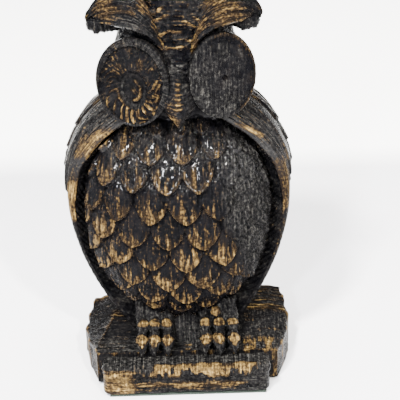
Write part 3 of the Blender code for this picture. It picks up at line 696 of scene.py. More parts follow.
def make_head(material):
    """The head: a furrowed ridge climbs between the eyes and widens up the forehead, with a brow on each side.

    Small feathers like scales cover the sides and back.
    """
    rings, angle = head_core()
    x, y, z = rings[..., 0].copy(), rings[..., 1].copy(), rings[..., 2]
    # Out along the ring's own direction from the head's axis.
    direction = np.stack([np.sin(angle), -np.cos(angle), np.zeros_like(angle)], axis=-1)[None]
    from_ridge = x - 1.5
    half = through(RIDGE_HALF_WIDTH, z)
    profile = np.clip(1 - (from_ridge / (half + 0.8)) ** 2, 0, 1) ** 0.6
    ridge = profile * window(z, 142, 152, 188.3, 183) * smoothstep(5, -9, y)
    rings = rings + direction * (5.6 * ridge)[..., None]
    y = rings[..., 1]
    middle = smoothstep(0.05, 0.35, ridge)
    # Furrows across the ridge, arched upwards, each lapping over the one below.
    arch = z + 0.055 * from_ridge**2 + 2.6 * (rough(x * 0.3, z * 0.2, 60, 2) - 0.5)
    lap = (arch / FURROW_PITCH) % 1.0
    furrow = lap**1.4 * smoothstep(1.0, 0.88, lap)
    lumps = rough(x * 0.5, z * 0.5, 61, 3)
    height = middle * (1.4 * furrow + 3.0 * (lumps - 0.5))
    patch = rough(x * 0.25, z * 0.3, 62, 2)
    gold = middle * smoothstep(154, 170, z + 9 * (lumps - 0.5)) * smoothstep(0.2, 0.85, furrow)
    gold *= (0.04 + 0.62 * smoothstep(0.46, 0.62, patch)) * smoothstep(0.3, 0.55, lumps)
    gold += 0.24 * middle * smoothstep(156, 168, z)
    wear_and_sheen = middle * (0.45 + 0.55 * smoothstep(162, 156, z)) * smoothstep(0.4, 0.55, lumps)
    wear_and_sheen += 0.1 * smoothstep(0, 10, y)
    brush = brush_map(z, x).copy()
    rng = np.random.default_rng(5)
    feathers = []
    for row in range(SCALE_ROWS):
        level = SCALE_LOWEST + SCALE_RISE * row
        around = 22 if level < 181 else 18
        for k in range(-around, around + 1):
            place = SCALE_PITCH * (k + 0.5 * (row % 2)) + rng.uniform(-0.4, 0.4)
            if abs(place) > 26:
                tip = level + rng.uniform(-0.4, 0.4)
                feathers.append((place, tip, 2.8, 4.2, 9, 0.65, 0.45, rng.uniform(0.1, 0.45)))
    turned = np.where(angle > math.pi, angle - TAU, angle)[None, :] + 0 * x
    coat, coat_gold, coat_brush = np.zeros(x.shape), np.zeros(x.shape), brush.copy()
    feather_coat(turned * 31, z, feathers, coat, coat_gold, coat_brush, seed=9, edge_width=0.5)
    rear = smoothstep(-10, -3, y)
    # The fold under each brow is left rough from the gouge.
    fold = window(z, 158, 164, 176, 170) * smoothstep(6, -6, y) * (1 - middle)
    height += 2.2 * fold * (rough(x * 0.5 + y * 0.5, z * 0.7, 66, 4) - 0.5)
    height = height + coat * rear + 0.45 * (rough(x * 0.5, z * 0.5, 30, 3) - 0.5) * (1 - middle)
    gold += coat_gold * rear
    brush = np.where((rear > 0.5)[..., None], coat_brush, brush)
    rings = raised(rings, height)
    rings[..., 1] = np.minimum(rings[..., 1], BACK)
    rings[..., 2] = np.minimum(rings[..., 2], HEAD_HIGH[2])
    shells = [shell(set_at(rings, 1, HEAD_X + 0.5), np.clip(gold, 0, 1), wear_and_sheen, brush)]
    shells += [make(side) for side in (-1, 1) for make in (brow, brow_end)]
    piece("head", "carved", shells, material)


# ---------------------------------------------------------------- eyes

EYE_YAW = math.radians(15)
EYE_Y = -18.5
# Middle across, middle height, half width and half height of each disc.
EYES = {-1: (-17.0, NECK + 22.75, 16.2, 19.45), 1: (19.8, NECK + 24.4, 14.8, 19.0)}
EYE_THICK = 8.0
# Nothing is cut deep enough to reach the steel pin behind the face.
DEEPEST_CUT = 1.4


def eye_disc(side, relief):
    """The shell of a disc from the middle of its face, over the rim and round its wall to the middle of its back.

    relief(radius share, turn) gives the face's height, its paint and its wear.
    """
    middle, level, half_across, half_up = EYES[side]
    turn = full_turn(320)
    radius = np.linspace(0.012, 0.985, 130)[:, None]
    face, gold, wear_and_sheen = relief(radius, turn)
    out = EYE_THICK / 2 - 0.9 + np.maximum(face, -DEEPEST_CUT)
    wall_turn = np.linspace(0, 1, 12)[1:, None]
    rim_out = out[-1:, :] * (1 - wall_turn) + (-EYE_THICK / 2) * wall_turn
    bulge = 0.985 + 0.015 * np.sin(np.minimum(wall_turn * 3, 1) * math.pi / 2) - 0.07 * wall_turn**2
    back = np.linspace(0.88, 0.05, 5)[:, None]
    radii = np.concatenate([radius + 0 * turn, bulge + 0 * turn, back + 0 * turn])
    outs = np.concatenate([out, rim_out, np.full((5, turn.shape[1]), -EYE_THICK / 2)])
    across, up = half_across * radii * np.cos(turn), half_up * radii * np.sin(turn)
    c, s = math.cos(EYE_YAW), side * math.sin(EYE_YAW)
    rings = np.stack([HEAD_X + middle + across * c + s * outs, EYE_Y + s * across - c * outs, level + up], axis=-1)
    rows = len(radii) - len(radius)
    gold = np.concatenate([gold, np.zeros((rows, turn.shape[1]))])
    wear_and_sheen = np.concatenate([wear_and_sheen, np.full((rows, turn.shape[1]), 0.3)])
    brush = brush_map(across, up) if side > 0 else brush_map(turn * 14, radii * 15)
    return shell(rings, gold, wear_and_sheen, brush)


def swirl_relief(radius, turn):
    """The left eye: a rim of fine lines, curved flutes, and a snail in a deep ring a little below the middle.

    A flute's line leaves the ring level, rises, and curls down towards the rim: its angle is a parabola in radius.
    """
    across, up = radius * np.cos(turn), radius * np.sin(turn)
    low_left = smoothstep(-0.1, 0.7, -np.sin(turn + 0.5))
    rim = smoothstep(0.80 + 0.11 * low_left, 0.84 + 0.11 * low_left, radius)
    rim_lines = 0.5 + 0.5 * np.cos(TAU * radius / 0.05 + 1.2 * (noise(turn * 1.6, radius * 2, 73) - 0.5))
    ax, bz = across / 0.92, up + 0.16
    inner, around = np.hypot(ax, bz), np.arctan2(bz, ax)
    grain = rough(across * 24, up * 30, 70, 3) - 0.5
    patch = rough(across * 5 + 9, up * 6 + 9, 76, 3)
    out = np.clip(inner - 0.4, 0, 1)
    bend = around + 1.0 * out - 3.2 * out**2 + 0.12 * np.sin(2 * around + 1)
    bend += 0.65 * (rough(3 + 2.5 * ax, 3 + 2.5 * bz, 72, 2) - 0.5)
    wave = 0.5 + 0.5 * np.cos(20 * bend + 1.6 * (noise(9 + 7 * ax, 9 + 7 * bz, 74) - 0.5))
    left = smoothstep(0.1, 0.8, -np.cos(around))
    below = smoothstep(0.0, 0.75, -np.sin(around + 0.15))
    above = smoothstep(0.35, 0.85, np.sin(around + 0.1))
    right = smoothstep(0.2, 0.8, np.cos(around))
    flute = wave ** (0.9 + 2.2 * left) * (0.74 + 0.26 * np.cos(60 * bend + 2))
    body = smoothstep(0.40, 0.46, inner) * (1 - rim)
    dome = np.sin(np.clip((inner - 0.40) / 0.5, 0, 1) * math.pi)
    ring = bump_at(inner, 0.345, 0.06)
    snail_on = smoothstep(0.31, 0.27, inner)
    arc = bump_at(inner, 0.235, 0.05) * smoothstep(-0.35, 0.35, np.cos(around + 0.1))
    knob = bump_at(np.hypot(ax - 0.06, bz), 0, 0.10)
    edge = bump_at(inner, 0.43, 0.035) * smoothstep(0.3, 0.9, -np.sin(around + 0.6))
    face = 0.5 * rim + 0.30 * rim * rim_lines - 0.35 * bump_at(radius, 0.80 + 0.11 * low_left, 0.02)
    face += body * (0.55 * dome + (0.95 - 0.6 * above) * flute - 0.45)
    face = face - 1.7 * ring + 1.0 * snail_on * (0.9 * arc + 0.8 * knob - 0.3) + 0.6 * edge + 0.35 * grain
    mottled = smoothstep(0.32, 0.62, patch)
    gold = body * flute * (0.40 * left + 0.70 * below + 0.36 * right + 0.10) * (0.22 + 0.9 * mottled)
    gold += 0.30 * body * right * smoothstep(0.55, 0.8, inner) * mottled
    gold = gold * (1 - 0.8 * above) + 0.30 * body * above * smoothstep(0.5, 0.75, patch) + 0.12 * body
    gold += snail_on * (0.75 * arc + 0.5 * knob) * (0.3 + mottled)
    gold += 0.7 * edge * smoothstep(-0.2, 0.2, -ax - 0.15)
    gold += rim * rim_lines * (0.16 + 0.12 * np.cos(turn - 2.6))
    # The grey on the lower left of the deep ring is a painted glint; the grey on the rim lines is rubbing.
    wear_and_sheen = 0.15 + rim * (0.5 - 0.2 * low_left) * (0.4 + 0.6 * rim_lines) + 0.5 * ring * low_left
    return face, np.clip(gold + 0.3 * grain * (gold > 0.06), 0, 1), np.clip(wear_and_sheen, 0, 1)


def worn_relief(radius, turn):
    """The right eye: rubbed flat, with a small hole and the last of its relief along the upper right of its rim."""
    across, up = radius * np.cos(turn), radius * np.sin(turn)
    pits = rough(across * 26, up * 14, 80, 4) - 0.5
    broad = rough(across * 4, up * 5, 81, 2) - 0.5
    hole = smoothstep(0.075, 0.045, np.hypot((across - 0.04) * 0.8, up + 0.03))
    face = 0.3 - 0.35 * radius**2 + 0.35 * pits + 0.5 * broad - 1.5 * hole
    face += 0.22 * bump_at(np.hypot(across - 0.03, up + 0.10), 0.07, 0.05) * (up < -0.05)
    edge = smoothstep(-0.45, 0.35, np.cos(turn - 0.35)) * smoothstep(0.74, 0.82, radius)
    flute = 0.5 + 0.5 * np.cos(30 * (turn + 0.9 * radius))
    lines = 0.5 + 0.5 * np.cos(TAU * radius / 0.06)
    face += edge * (0.30 * flute + 0.25 * lines - 0.5 * bump_at(radius, 0.9, 0.025))
    face -= 0.7 * smoothstep(0.93, 1.0, radius)
    gold = edge * (0.08 + 0.2 * flute * smoothstep(0.94, 0.86, radius) + 0.34 * smoothstep(0.88, 0.93, radius))
    low_left = smoothstep(-0.2, 0.6, -np.cos(turn - 0.9)) * smoothstep(0.35, 0.7, radius)
    wear_and_sheen = 0.26 + 0.8 * broad + 0.5 * pits + 0.30 * low_left - 0.3 * edge - 0.5 * hole
    wear_and_sheen += 0.35 * smoothstep(0.92, 0.97, radius)
    return face, gold, np.clip(wear_and_sheen, 0, 1)


def make_eyes(enamel, worn):
    """Both discs: the left one carved, the right one rubbed flat."""
    piece("eye_left", "disc", [eye_disc(-1, swirl_relief)], enamel)
    piece("eye_right", "disc", [eye_disc(1, worn_relief)], worn)


# ---------------------------------------------------------------- beak

BEAK_BAR_PITCH = 1.9
# From the top of the beak (0) to its tip (1).
BEAK_HALF_WIDTH = ((0, 2.4), (0.15, 4.0), (0.4, 6.2), (0.66, 7.9), (0.8, 6.6), (0.93, 3.0), (1, 0.5))
BEAK_REACH = ((0, 1.0), (0.2, 4.4), (0.5, 8.0), (0.75, 10.0), (0.92, 9.6), (1, 8.2))

def make_beak(material):
    """A hooked kite: each level is a flat-topped triangle whose width and reach follow the outline."""
    levels = np.linspace(0, 1, 70)[:, None]
    top, tip = NECK + 28.5, NECK + 5.6
    z = top + (tip - top) * levels
    width, reach = through(BEAK_HALF_WIDTH, levels), through(BEAK_REACH, levels)
    ring = np.linspace(0, 1, 96, endpoint=False)[None, :]
    across = np.where(ring < 0.75, -1 + 2 * ring / 0.75, 1 - 2 * (ring - 0.75) / 0.25)
    ahead = np.where(ring < 0.75, 1 - np.abs(across) ** 1.6, -0.35 * np.sin((ring - 0.75) * 4 * math.pi))
    x = HEAD_X + 1.3 + width * across + 0 * z
    y = -22.0 - reach * ahead
    zz = z + 0 * across - 1.2 * ahead
    rings = np.stack([x, y, zz], axis=-1)
    ridge = bump_at(across, 0.0, 0.28) * (ring < 0.75)
    bars = 0.5 + 0.5 * np.cos(TAU * z / BEAK_BAR_PITCH)
    grain = rough(x * 0.8, z * 0.8, 90, 3) - 0.5
    height = 0.18 * ridge * bars + 0.3 * grain
    gold = ridge * window(levels, 0.06, 0.15, 0.72, 0.6) * (0.3 + 0.55 * bars)
    left_facet = window(levels, 0.7, 0.8, 0.98, 0.9) * bump_at(across, -0.25, 0.45)
    gold += (ring < 0.75) * 0.6 * left_facet
    gold += 0.34 * bump_at(across, -0.5, 0.35) * (ring < 0.75) * smoothstep(0.3, 0.6, levels)
    gold = np.clip(gold + 0.3 * grain * (gold > 0.05), 0, 1)
    piece("beak", "carved", [shell(raised(rings, height), gold, 0.35 + 0 * gold, brush_map(zz, x))], material)


# ---------------------------------------------------------------- feet

BLOCK_LOW, BLOCK_HIGH = box_mm("base_block")
BLOCK_TOP = BLOCK_HIGH[2]


def tube_rings(path, radii, count=36, flat=1.0):
    """Rings about a path: each is a circle across the path's direction, flattened up and down."""
    tangent = np.gradient(path, axis=0)
    tangent /= np.linalg.norm(tangent, axis=1, keepdims=True)
    sideways = np.cross(tangent, np.array([0.0, 0.0, 1.0]))
    sideways /= np.maximum(np.linalg.norm(sideways, axis=1, keepdims=True), 1e-9)
    upward = np.cross(sideways, tangent)
    turn = full_turn(count)[..., None]
    offset = np.cos(turn) * sideways[:, None, :] + flat * np.sin(turn) * upward[:, None, :]
    return path[:, None, :] + radii[:, None, None] * offset, turn[..., 0]


# Radius of a toe along its length: two knuckles, then the claw.
TOE_RADII = (
    (0, 2.3),
    (0.12, 2.0),
    (0.28, 3.0),
    (0.42, 1.9),
    (0.52, 2.5),
    (0.63, 3.1),
    (0.77, 2.3),
    (0.89, 1.3),
    (1, 0.2),
)


def toe(x, lean, size, seed):
    """One toe: two knuckles with a waist between them, and a claw that curls down to the step."""
    rng = np.random.default_rng(seed)
    t = np.linspace(0, 1, 90)
    control = np.array(
        [
            (x - 0.5 * lean, -11.0, BLOCK_TOP + 11.0),
            (x - 0.3 * lean, -15.0, BLOCK_TOP + 10.6),
            (x - 0.1 * lean, -19.0, BLOCK_TOP + 8.7),
            (x, -22.0, BLOCK_TOP + 6.8),
            (x + 0.2 * lean, -24.6, BLOCK_TOP + 4.9),
            (x + 0.4 * lean, -27.2, BLOCK_TOP + 2.0),
            (x + 0.5 * lean, -28.8, BLOCK_TOP - 0.4),
        ]
    )
    places = np.linspace(0, 1, len(control))
    control = control + rng.uniform(-0.45, 0.45, control.shape) * np.array([1, 0.6, 0.6])
    path = np.stack([through(list(zip(places, control[:, k])), t) for k in range(3)], axis=1)
    rings, turn = tube_rings(path, through(TOE_RADII, t) * size, flat=0.95)
    along = t[:, None]
    pad = rough(turn * 1.2 + 0 * along, along * 22, seed, 3) - 0.5
    knob = bump_at(along, 0.28, 0.06) + bump_at(along, 0.62, 0.07)
    height = 0.8 * pad * smoothstep(0.95, 0.8, along) + 0.25 * knob * np.cos(2 * turn)
    # Paint sits on each knuckle as a drop that narrows towards the claw.
    from_top = np.abs(turn - math.pi / 2)
    from_top = np.minimum(from_top, TAU - from_top)
    drops = [
        np.hypot((along - centre) / reach, from_top / np.clip(1.25 - 4.0 * (along - centre), 0.3, 2))
        for centre, reach in ((0.27, 0.085), (0.65, 0.14))
    ]
    gold = smoothstep(1.25, 0.6, np.minimum(*drops)) * rng.uniform(0.85, 1.05)
    gold = np.clip(gold + 1.1 * pad * (gold > 0.1), 0, 1)
    # The even grey rub over the whole toe is painted light, lifting the shade between and under the toes.
    return shell(raised(rings, height), gold, 0.6 + 0 * gold, brush_map(turn * 3, along * 25, seed * 3.1))


def leg(side, middle, half, seed):
    """The leg behind the toes: an upright squarish post, furrowed between the toes, up into the belly."""
    t = np.linspace(0, 1, 44)[:, None]
    turn = full_turn(120)
    z = BLOCK_TOP - 1.5 + 20.5 * t
    front = -20.5 + 9.5 * t**0.8 + (3.5 if side == 0 else 0)
    back = -6.2
    cx, sy = power(np.cos(turn), 0.45), power(np.sin(turn), 0.45)
    x = middle + (half - 0.2) * cx + 0 * z
    y = (front + back) / 2 + (back - front) / 2 * sy
    furrow = np.cos(TAU * (x - middle) / 6.6) * smoothstep(0.2, -0.5, sy)
    height = 0.7 * furrow + 2.2 * (rough(x * 0.5, z * 0.35, seed, 4) - 0.5)
    rings = np.stack([x, y, z + 0 * x], axis=-1)
    # The even grey rub over the whole leg is painted light, lifting its shade.
    return shell(raised(rings, height), 0 * x, 0.6 + 0 * x, brush_map(x, z))


def spare_knuckle():
    """A gilded knob above the right foot's middle toe: an oval ball."""
    level = BLOCK_TOP + 14.9
    x, y, z = oval_ball((13.8, -15.2, level), (2.3, 2.6, 2.9), 32, 48)
    pad = rough(x, z, 120, 3) - 0.5
    rings = raised(np.stack([x, y, z], axis=-1), 1.0 * pad)
    gold = np.clip(0.85 * smoothstep(level - 1.4, level, z) + pad, 0, 1)
    return shell(rings, gold, 0.4 + 0 * gold, brush_map(x, z, 9.0))


def make_feet(material):
    """Both feet, three toes each."""
    for node, side, middle in (("foot_left", -1, -15.0), ("foot_right", 1, 15.2)):
        low, high = box_mm(node)
        shells = [leg(side, (low[0] + high[0]) / 2, (high[0] - low[0]) / 2, 100 + side)]
        shells.append(leg(0, side * 3.2, 6.0, 104 + side))
        for k in (-1, 0, 1):
            x = middle + (6.1 + 0.3 * side) * k
            shells.append(toe(x, 0.9 * k + 0.3 * side, 1.0 - 0.06 * abs(k), 110 + 7 * side + k))
        if side > 0:
            shells.append(spare_knuckle())
        piece(node, "carved", shells, material)


# ---------------------------------------------------------------- base

# Grooves across the back part of the block's top.
GROOVE_PITCH = 3.1
# Length over which the step's ends are drawn in.
STEP_END = 3.5


def block_outline(count):
    """Plan of the block: ten corners, the same on both sides, joined by straight sides and resampled evenly."""
    right = np.array([(42.5, -24), (47.8, -8), (50, 4), (49.6, 20), (48, 36)])
    left = right[::-1] * (-1, 1)
    return even_along(np.vstack([left[-1:], right, left]), count + 1)[:-1]


def past_left_crease(x, y):
    """How far a point lies beyond the slanting crease that bounds the block's left outer facet."""
    return (-36 - x) - 0.22 * (12 - y)


def block_top_shape(x, y):
    """Fall of the top face below its level, in millimetres: outer facets, a crease at y = 13 and a raised arris."""
    left_line = past_left_crease(x, y)
    left = np.clip(left_line, 0, None) * 0.30
    right = np.clip((x - 38.5) - 0.12 * y, 0, None) * 0.16
    behind = smoothstep(12, 14, y)
    fall = np.minimum(left, 4.2) + np.minimum(right, 2.0) - 0.55 * behind * (1 - smoothstep(40, 46, np.abs(x)))
    fall = fall - 0.5 * bump_at(left_line, -0.6, 0.9) * smoothstep(-22, -14, y) * (y < 14)
    return fall


def make_block(material):
    """The block: rings up its faceted wall, over a broken edge and in across its top."""
    count = 420
    outline = block_outline(count)
    centre_y = 6.0
    wall = np.linspace(0, 1, 44)
    edge = np.linspace(0, 1, 8)[1:]
    top = np.linspace(0, 1, 132)[1:]
    over = np.sin(edge * math.pi / 2)
    scale = np.concatenate([[0.15], 0.995 + 0 * wall, 0.995 - 0.022 * over**2, 0.973 * (1 - 0.985 * top)])
    level = np.concatenate([[0], wall * 0.95, 0.95 + 0.05 * over, np.ones_like(top)])
    scale, level = scale[:, None], level[:, None]
    x = outline[None, :, 0] * scale
    y = centre_y + (outline[None, :, 1] - centre_y) * scale
    top_z = BLOCK_TOP - 0.5 - block_top_shape(x, y)
    z = BLOCK_LOW[2] + (top_z - BLOCK_LOW[2]) * level
    rings = np.stack([x, y, z], axis=-1)
    on_top = smoothstep(0.97, 1.0, level) + 0 * x
    on_wall = (1 - on_top) * smoothstep(0.0, 0.03, level)
    around = np.arange(count)[None, :] * 0.73 + 0 * x
    behind = smoothstep(11, 14, y)
    right = smoothstep(24, 29, x)
    left = smoothstep(-25, -29, x)
    grain = np.sin(TAU * (y + 2.4 * (noise(x * 0.1, y * 0.3, 7) - 0.5)) / GROOVE_PITCH)
    height = on_top * behind * 0.22 * grain
    facet = np.abs(((around / 14.0 + 0.35 * noise(around * 0.05, level * 2, 2)) % 1.0) - 0.5) * 2
    height = height + on_wall * (0.9 * facet - 0.5) + 1.3 * on_wall * (rough(around * 0.16, z * 0.1, 44, 4) - 0.5)
    height += on_top * (0.9 * (rough(x * 0.16, y * 0.22, 45, 4) - 0.5) + 0.5 * (rough(x * 0.9, y * 0.9, 46, 2) - 0.5))
    fade = smoothstep(0.0, 0.04, level) * (y < 35.5)
    height *= fade
    crease = 0.6 * bump_at(y, 13.2, 1.2)
    patches = smoothstep(0.35, 0.65, rough(x * 0.12, y * 0.25, 61, 2))
    gold = on_top * right * (0.3 + 0.7 * patches) * (crease + behind * smoothstep(0.0, 0.9, grain) * 0.72)
    strokes = rough(x * 1.1, y * 0.2, 60, 3)
    edge_zone = smoothstep(-9, -17, y + 6 * (strokes - 0.5)) * smoothstep(-25.5, -23.5, y)
    gold += on_top * right * smoothstep(44, 40, x) * edge_zone * 0.85 * smoothstep(0.35, 0.62, strokes)
    left_line = past_left_crease(x, y)
    gold += on_top * left * 0.5 * bump_at(left_line, -0.4, 0.8) * window(y, -22, -10, 14, 8)
    bars = smoothstep(0.2, 0.8, np.sin(TAU * (y + 0.25 * x) / 4.4))
    gold += on_top * left * 0.72 * bars * bump_at(x, -33.5, 4.0) * bump_at(y, 9.5, 5.0)
    gold += 0.40 * on_top * left * behind * bump_at(y, 33, 3)
    gold += on_top * bump_at(x, 0.5, 2.2) * 0.75 * (bump_at(y, -19.2, 0.7) + bump_at(y, -22.6, 0.8))
    arris = smoothstep(0.62, 0.95, facet)
    gold += on_wall * 0.70 * arris * smoothstep(-24, -18, y)
    gold += 0.55 * on_wall * smoothstep(0.42, 0.75, rough(around * 0.35, z * 0.06, 48, 2))
    gold += bump_at(level, 0.965, 0.03) * 0.36 * (0.4 + np.abs(x) / 60)
    dabs = smoothstep(0.55, 0.8, rough(x * 0.1, y * 0.5, 49, 3))
    gold += 0.34 * on_top * dabs * smoothstep(24, 30, np.abs(x))
    # On the top the brush went sideways at the back and on the left, and from back to front elsewhere.
    sideways = (y > 12) | (x < 0)
    across = np.where(on_top > 0.5, np.where(sideways, y, x), around)
    along = np.where(on_top > 0.5, np.where(sideways, x, y), z)
    # The rub towards the front of the top, from y = -8 to -16, is painted sheen, for the gloss reflecting the wall;
    # the rest is rubbing.
    wear_and_sheen = 0.3 + 0.3 * on_top * right + 0.5 * on_top * smoothstep(-8, -16, y)
    rings = raised(rings, height)
    rings[..., 1] = np.minimum(rings[..., 1], BACK)
    rings[..., 2] = np.maximum(rings[..., 2], BLOCK_LOW[2])
    shells = [shell(rings, np.clip(gold, 0, 1), wear_and_sheen, brush_map(across, along))]
    piece("base_block", "carved", shells, material)


def make_step(material):
    """The step: a round-edged section carried along x, its ends drawn in, a groove along its front face."""
    low, high = box_mm("front_step")
    s = np.linspace(-1, 1, 300)[:, None]
    half_x = np.where(s < 0, 39.4, 38.0)
    x = half_x * np.sign(s) * (1 - (1 - np.abs(s)) ** 1.35)
    end = np.clip(1 - (np.clip(np.abs(x) - half_x + STEP_END, 0, None) / STEP_END) ** 2.4, 0.0, 1) ** 0.42
    turn = full_turn(200)
    cy, sz = power(np.cos(turn), 0.3), power(np.sin(turn), 0.3)
    mid_y, mid_z = (low[1] + high[1]) / 2, (low[2] + high[2]) / 2
    half_y, half_z = (high[1] - low[1]) / 2 - 0.3, (high[2] - low[2]) / 2 - 0.3
    y = mid_y + half_y * cy * (0.25 + 0.75 * end)
    z = mid_z + half_z * sz * (0.8 + 0.2 * end)
    x = x + 0 * turn
    rings = np.stack([x, y, z], axis=-1)
    face = smoothstep(-0.5, -0.95, cy) + 0 * x
    up = smoothstep(0.4, 0.95, sz) + 0 * x
    groove_z = 9.2 + 0.35 * np.sin(x * 0.13) - 0.012 * x
    groove = bump_at(z, groove_z, 0.75) * smoothstep(-27, -20, x)
    second = bump_at(z, groove_z - 3.4, 0.6) * 0.4 * smoothstep(-30, -10, x)
    drag = rough(x * 0.45, z * 0.12, 200, 3)
    smear = rough(x * 0.1, z * 0.6, 201, 3)
    lumps = rough(x * 0.13, z * 0.3, 204, 4) - 0.5
    height = face * (-1.1 * groove - 0.5 * second + 1.0 * (smear - 0.5) + 0.7 * (drag - 0.5) + 1.2 * lumps)
    height += up * (0.8 * (smear - 0.5) + 1.0 * (rough(x * 0.2, y * 0.4, 205, 3) - 0.5))
    reach = 15.2 - 7.5 * smoothstep(0.25, 0.75, drag)
    upper = window(z, reach - 0.6, reach + 1.2, 17.4, 16.2)
    fray = 14 * (drag - 0.5)
    zone = smoothstep(-24, -12, x + fray) * smoothstep(35, 24, x + fray)
    patchy = rough(x * 0.16, z * 0.05, 203, 2)
    front_face = np.maximum(face, 0.85 * up * smoothstep(-31.5, -34.5, y))
    gold = front_face * upper * zone * (0.45 + 0.85 * smoothstep(0.3, 0.62, patchy)) * (0.65 + 0.7 * drag)
    lower = bump_at(z, groove_z - 2.2, 1.5) * window(x, -27, -20, 32, 16)
    gold += face * lower * (0.38 + 0.75 * smear)
    gold = gold + 0.18 * face * smoothstep(0.5, 0.75, smear) + 0.15 * face * smoothstep(0.55, 0.8, drag)
    tail = window(z, groove_z - 2.4, groove_z - 3.0, 2.5, 4.5)
    gold += face * tail * (0.05 + 0.4 * smear) * smoothstep(34, 8, x)
    left_end = smoothstep(-22, -27, x + 2.5 * (drag - 0.5)) * smoothstep(15.6, 14.2, z)
    gold += face * left_end * (0.32 + 0.6 * smear)
    gold += 0.7 * face * bump_at(z, 13.0 + 0.12 * (x + 30), 0.55) * smoothstep(-22, -26, x)
    # The grey rub on the step's top, 0.9, is painted sheen, for the gloss reflecting the wall behind; the rest is
    # rubbing on the front face.
    wear_and_sheen = np.clip(0.35 + 0.3 * smoothstep(16, 30, x) * face + 0.9 * up, 0, 1)
    gold = np.clip(gold * (1 - groove * face), 0, 1)
    across = np.where(z > 10.5, x, z)
    along = np.where(z > 10.5, z, x)
    rings = raised(rings, height)
    rings[..., 1] = np.maximum(rings[..., 1], low[1])
    rings[..., 2] = np.clip(rings[..., 2], low[2], high[2] + 0.2)
    piece("front_step", "carved", [shell(rings, gold, wear_and_sheen, brush_map(across, along))], material)


# ---------------------------------------------------------------- materials


def linear(code):
    """An sRGB hex colour as linear red, green, blue and alpha."""
    values = [int(code[n : n + 2], 16) / 255 for n in (1, 3, 5)]
    return [v / 12.92 if v <= 0.04045 else ((v + 0.055) / 1.055) ** 2.4 for v in values] + [1.0]


def add(tree, kind, settings=None, out=0, stops=(), **links):
    """Add a node, set its properties, fill or link its sockets, colour its stops, and give one of its outputs."""
    node = tree.nodes.new("ShaderNode" + kind)
    for key, value in (settings or {}).items():
        setattr(node, key, value)
    for key, value in links.items():
        by_number = key[0] == "i" and key[1:].isdigit()
        socket = node.inputs[int(key[1:]) if by_number else key.replace("_", " ")]
        if isinstance(value, bpy.types.NodeSocket):
            tree.links.new(value, socket)
        else:
            socket.default_value = value
    for k, (position, colour) in enumerate(stops):
        element = node.color_ramp.elements[k] if k < 2 else node.color_ramp.elements.new(position)
        element.position = position
        element.color = linear(colour) if isinstance(colour, str) else (colour, colour, colour, 1)
    return node.outputs[out]


def new_material(name):
    """A material with only a Principled shader and its output."""
    material = bpy.data.materials.new(name)
    material.use_nodes = True
    tree = material.node_tree
    return material, tree, tree.nodes["Principled BSDF"]


TIMES, PLUS, LEAST, SCALED = ({"operation": name} for name in ("MULTIPLY", "ADD", "MINIMUM", "MULTIPLY_ADD"))
SMOOTH = {"interpolation_type": "SMOOTHSTEP"}
# Streaks of paint are 0.8 mm across the stroke and about 8 mm along it.
STREAKS_PER_MM = (1.25, 0.13, 1.0)
# Lumps of thick paint 1.3 mm across, cloudiness of the finish 8 mm, and plates of crackled enamel 1.6 mm.
LUMPS_PER_M, CLOUDS_PER_M, CRACKS_PER_M = 760.0, 125.0, 620.0


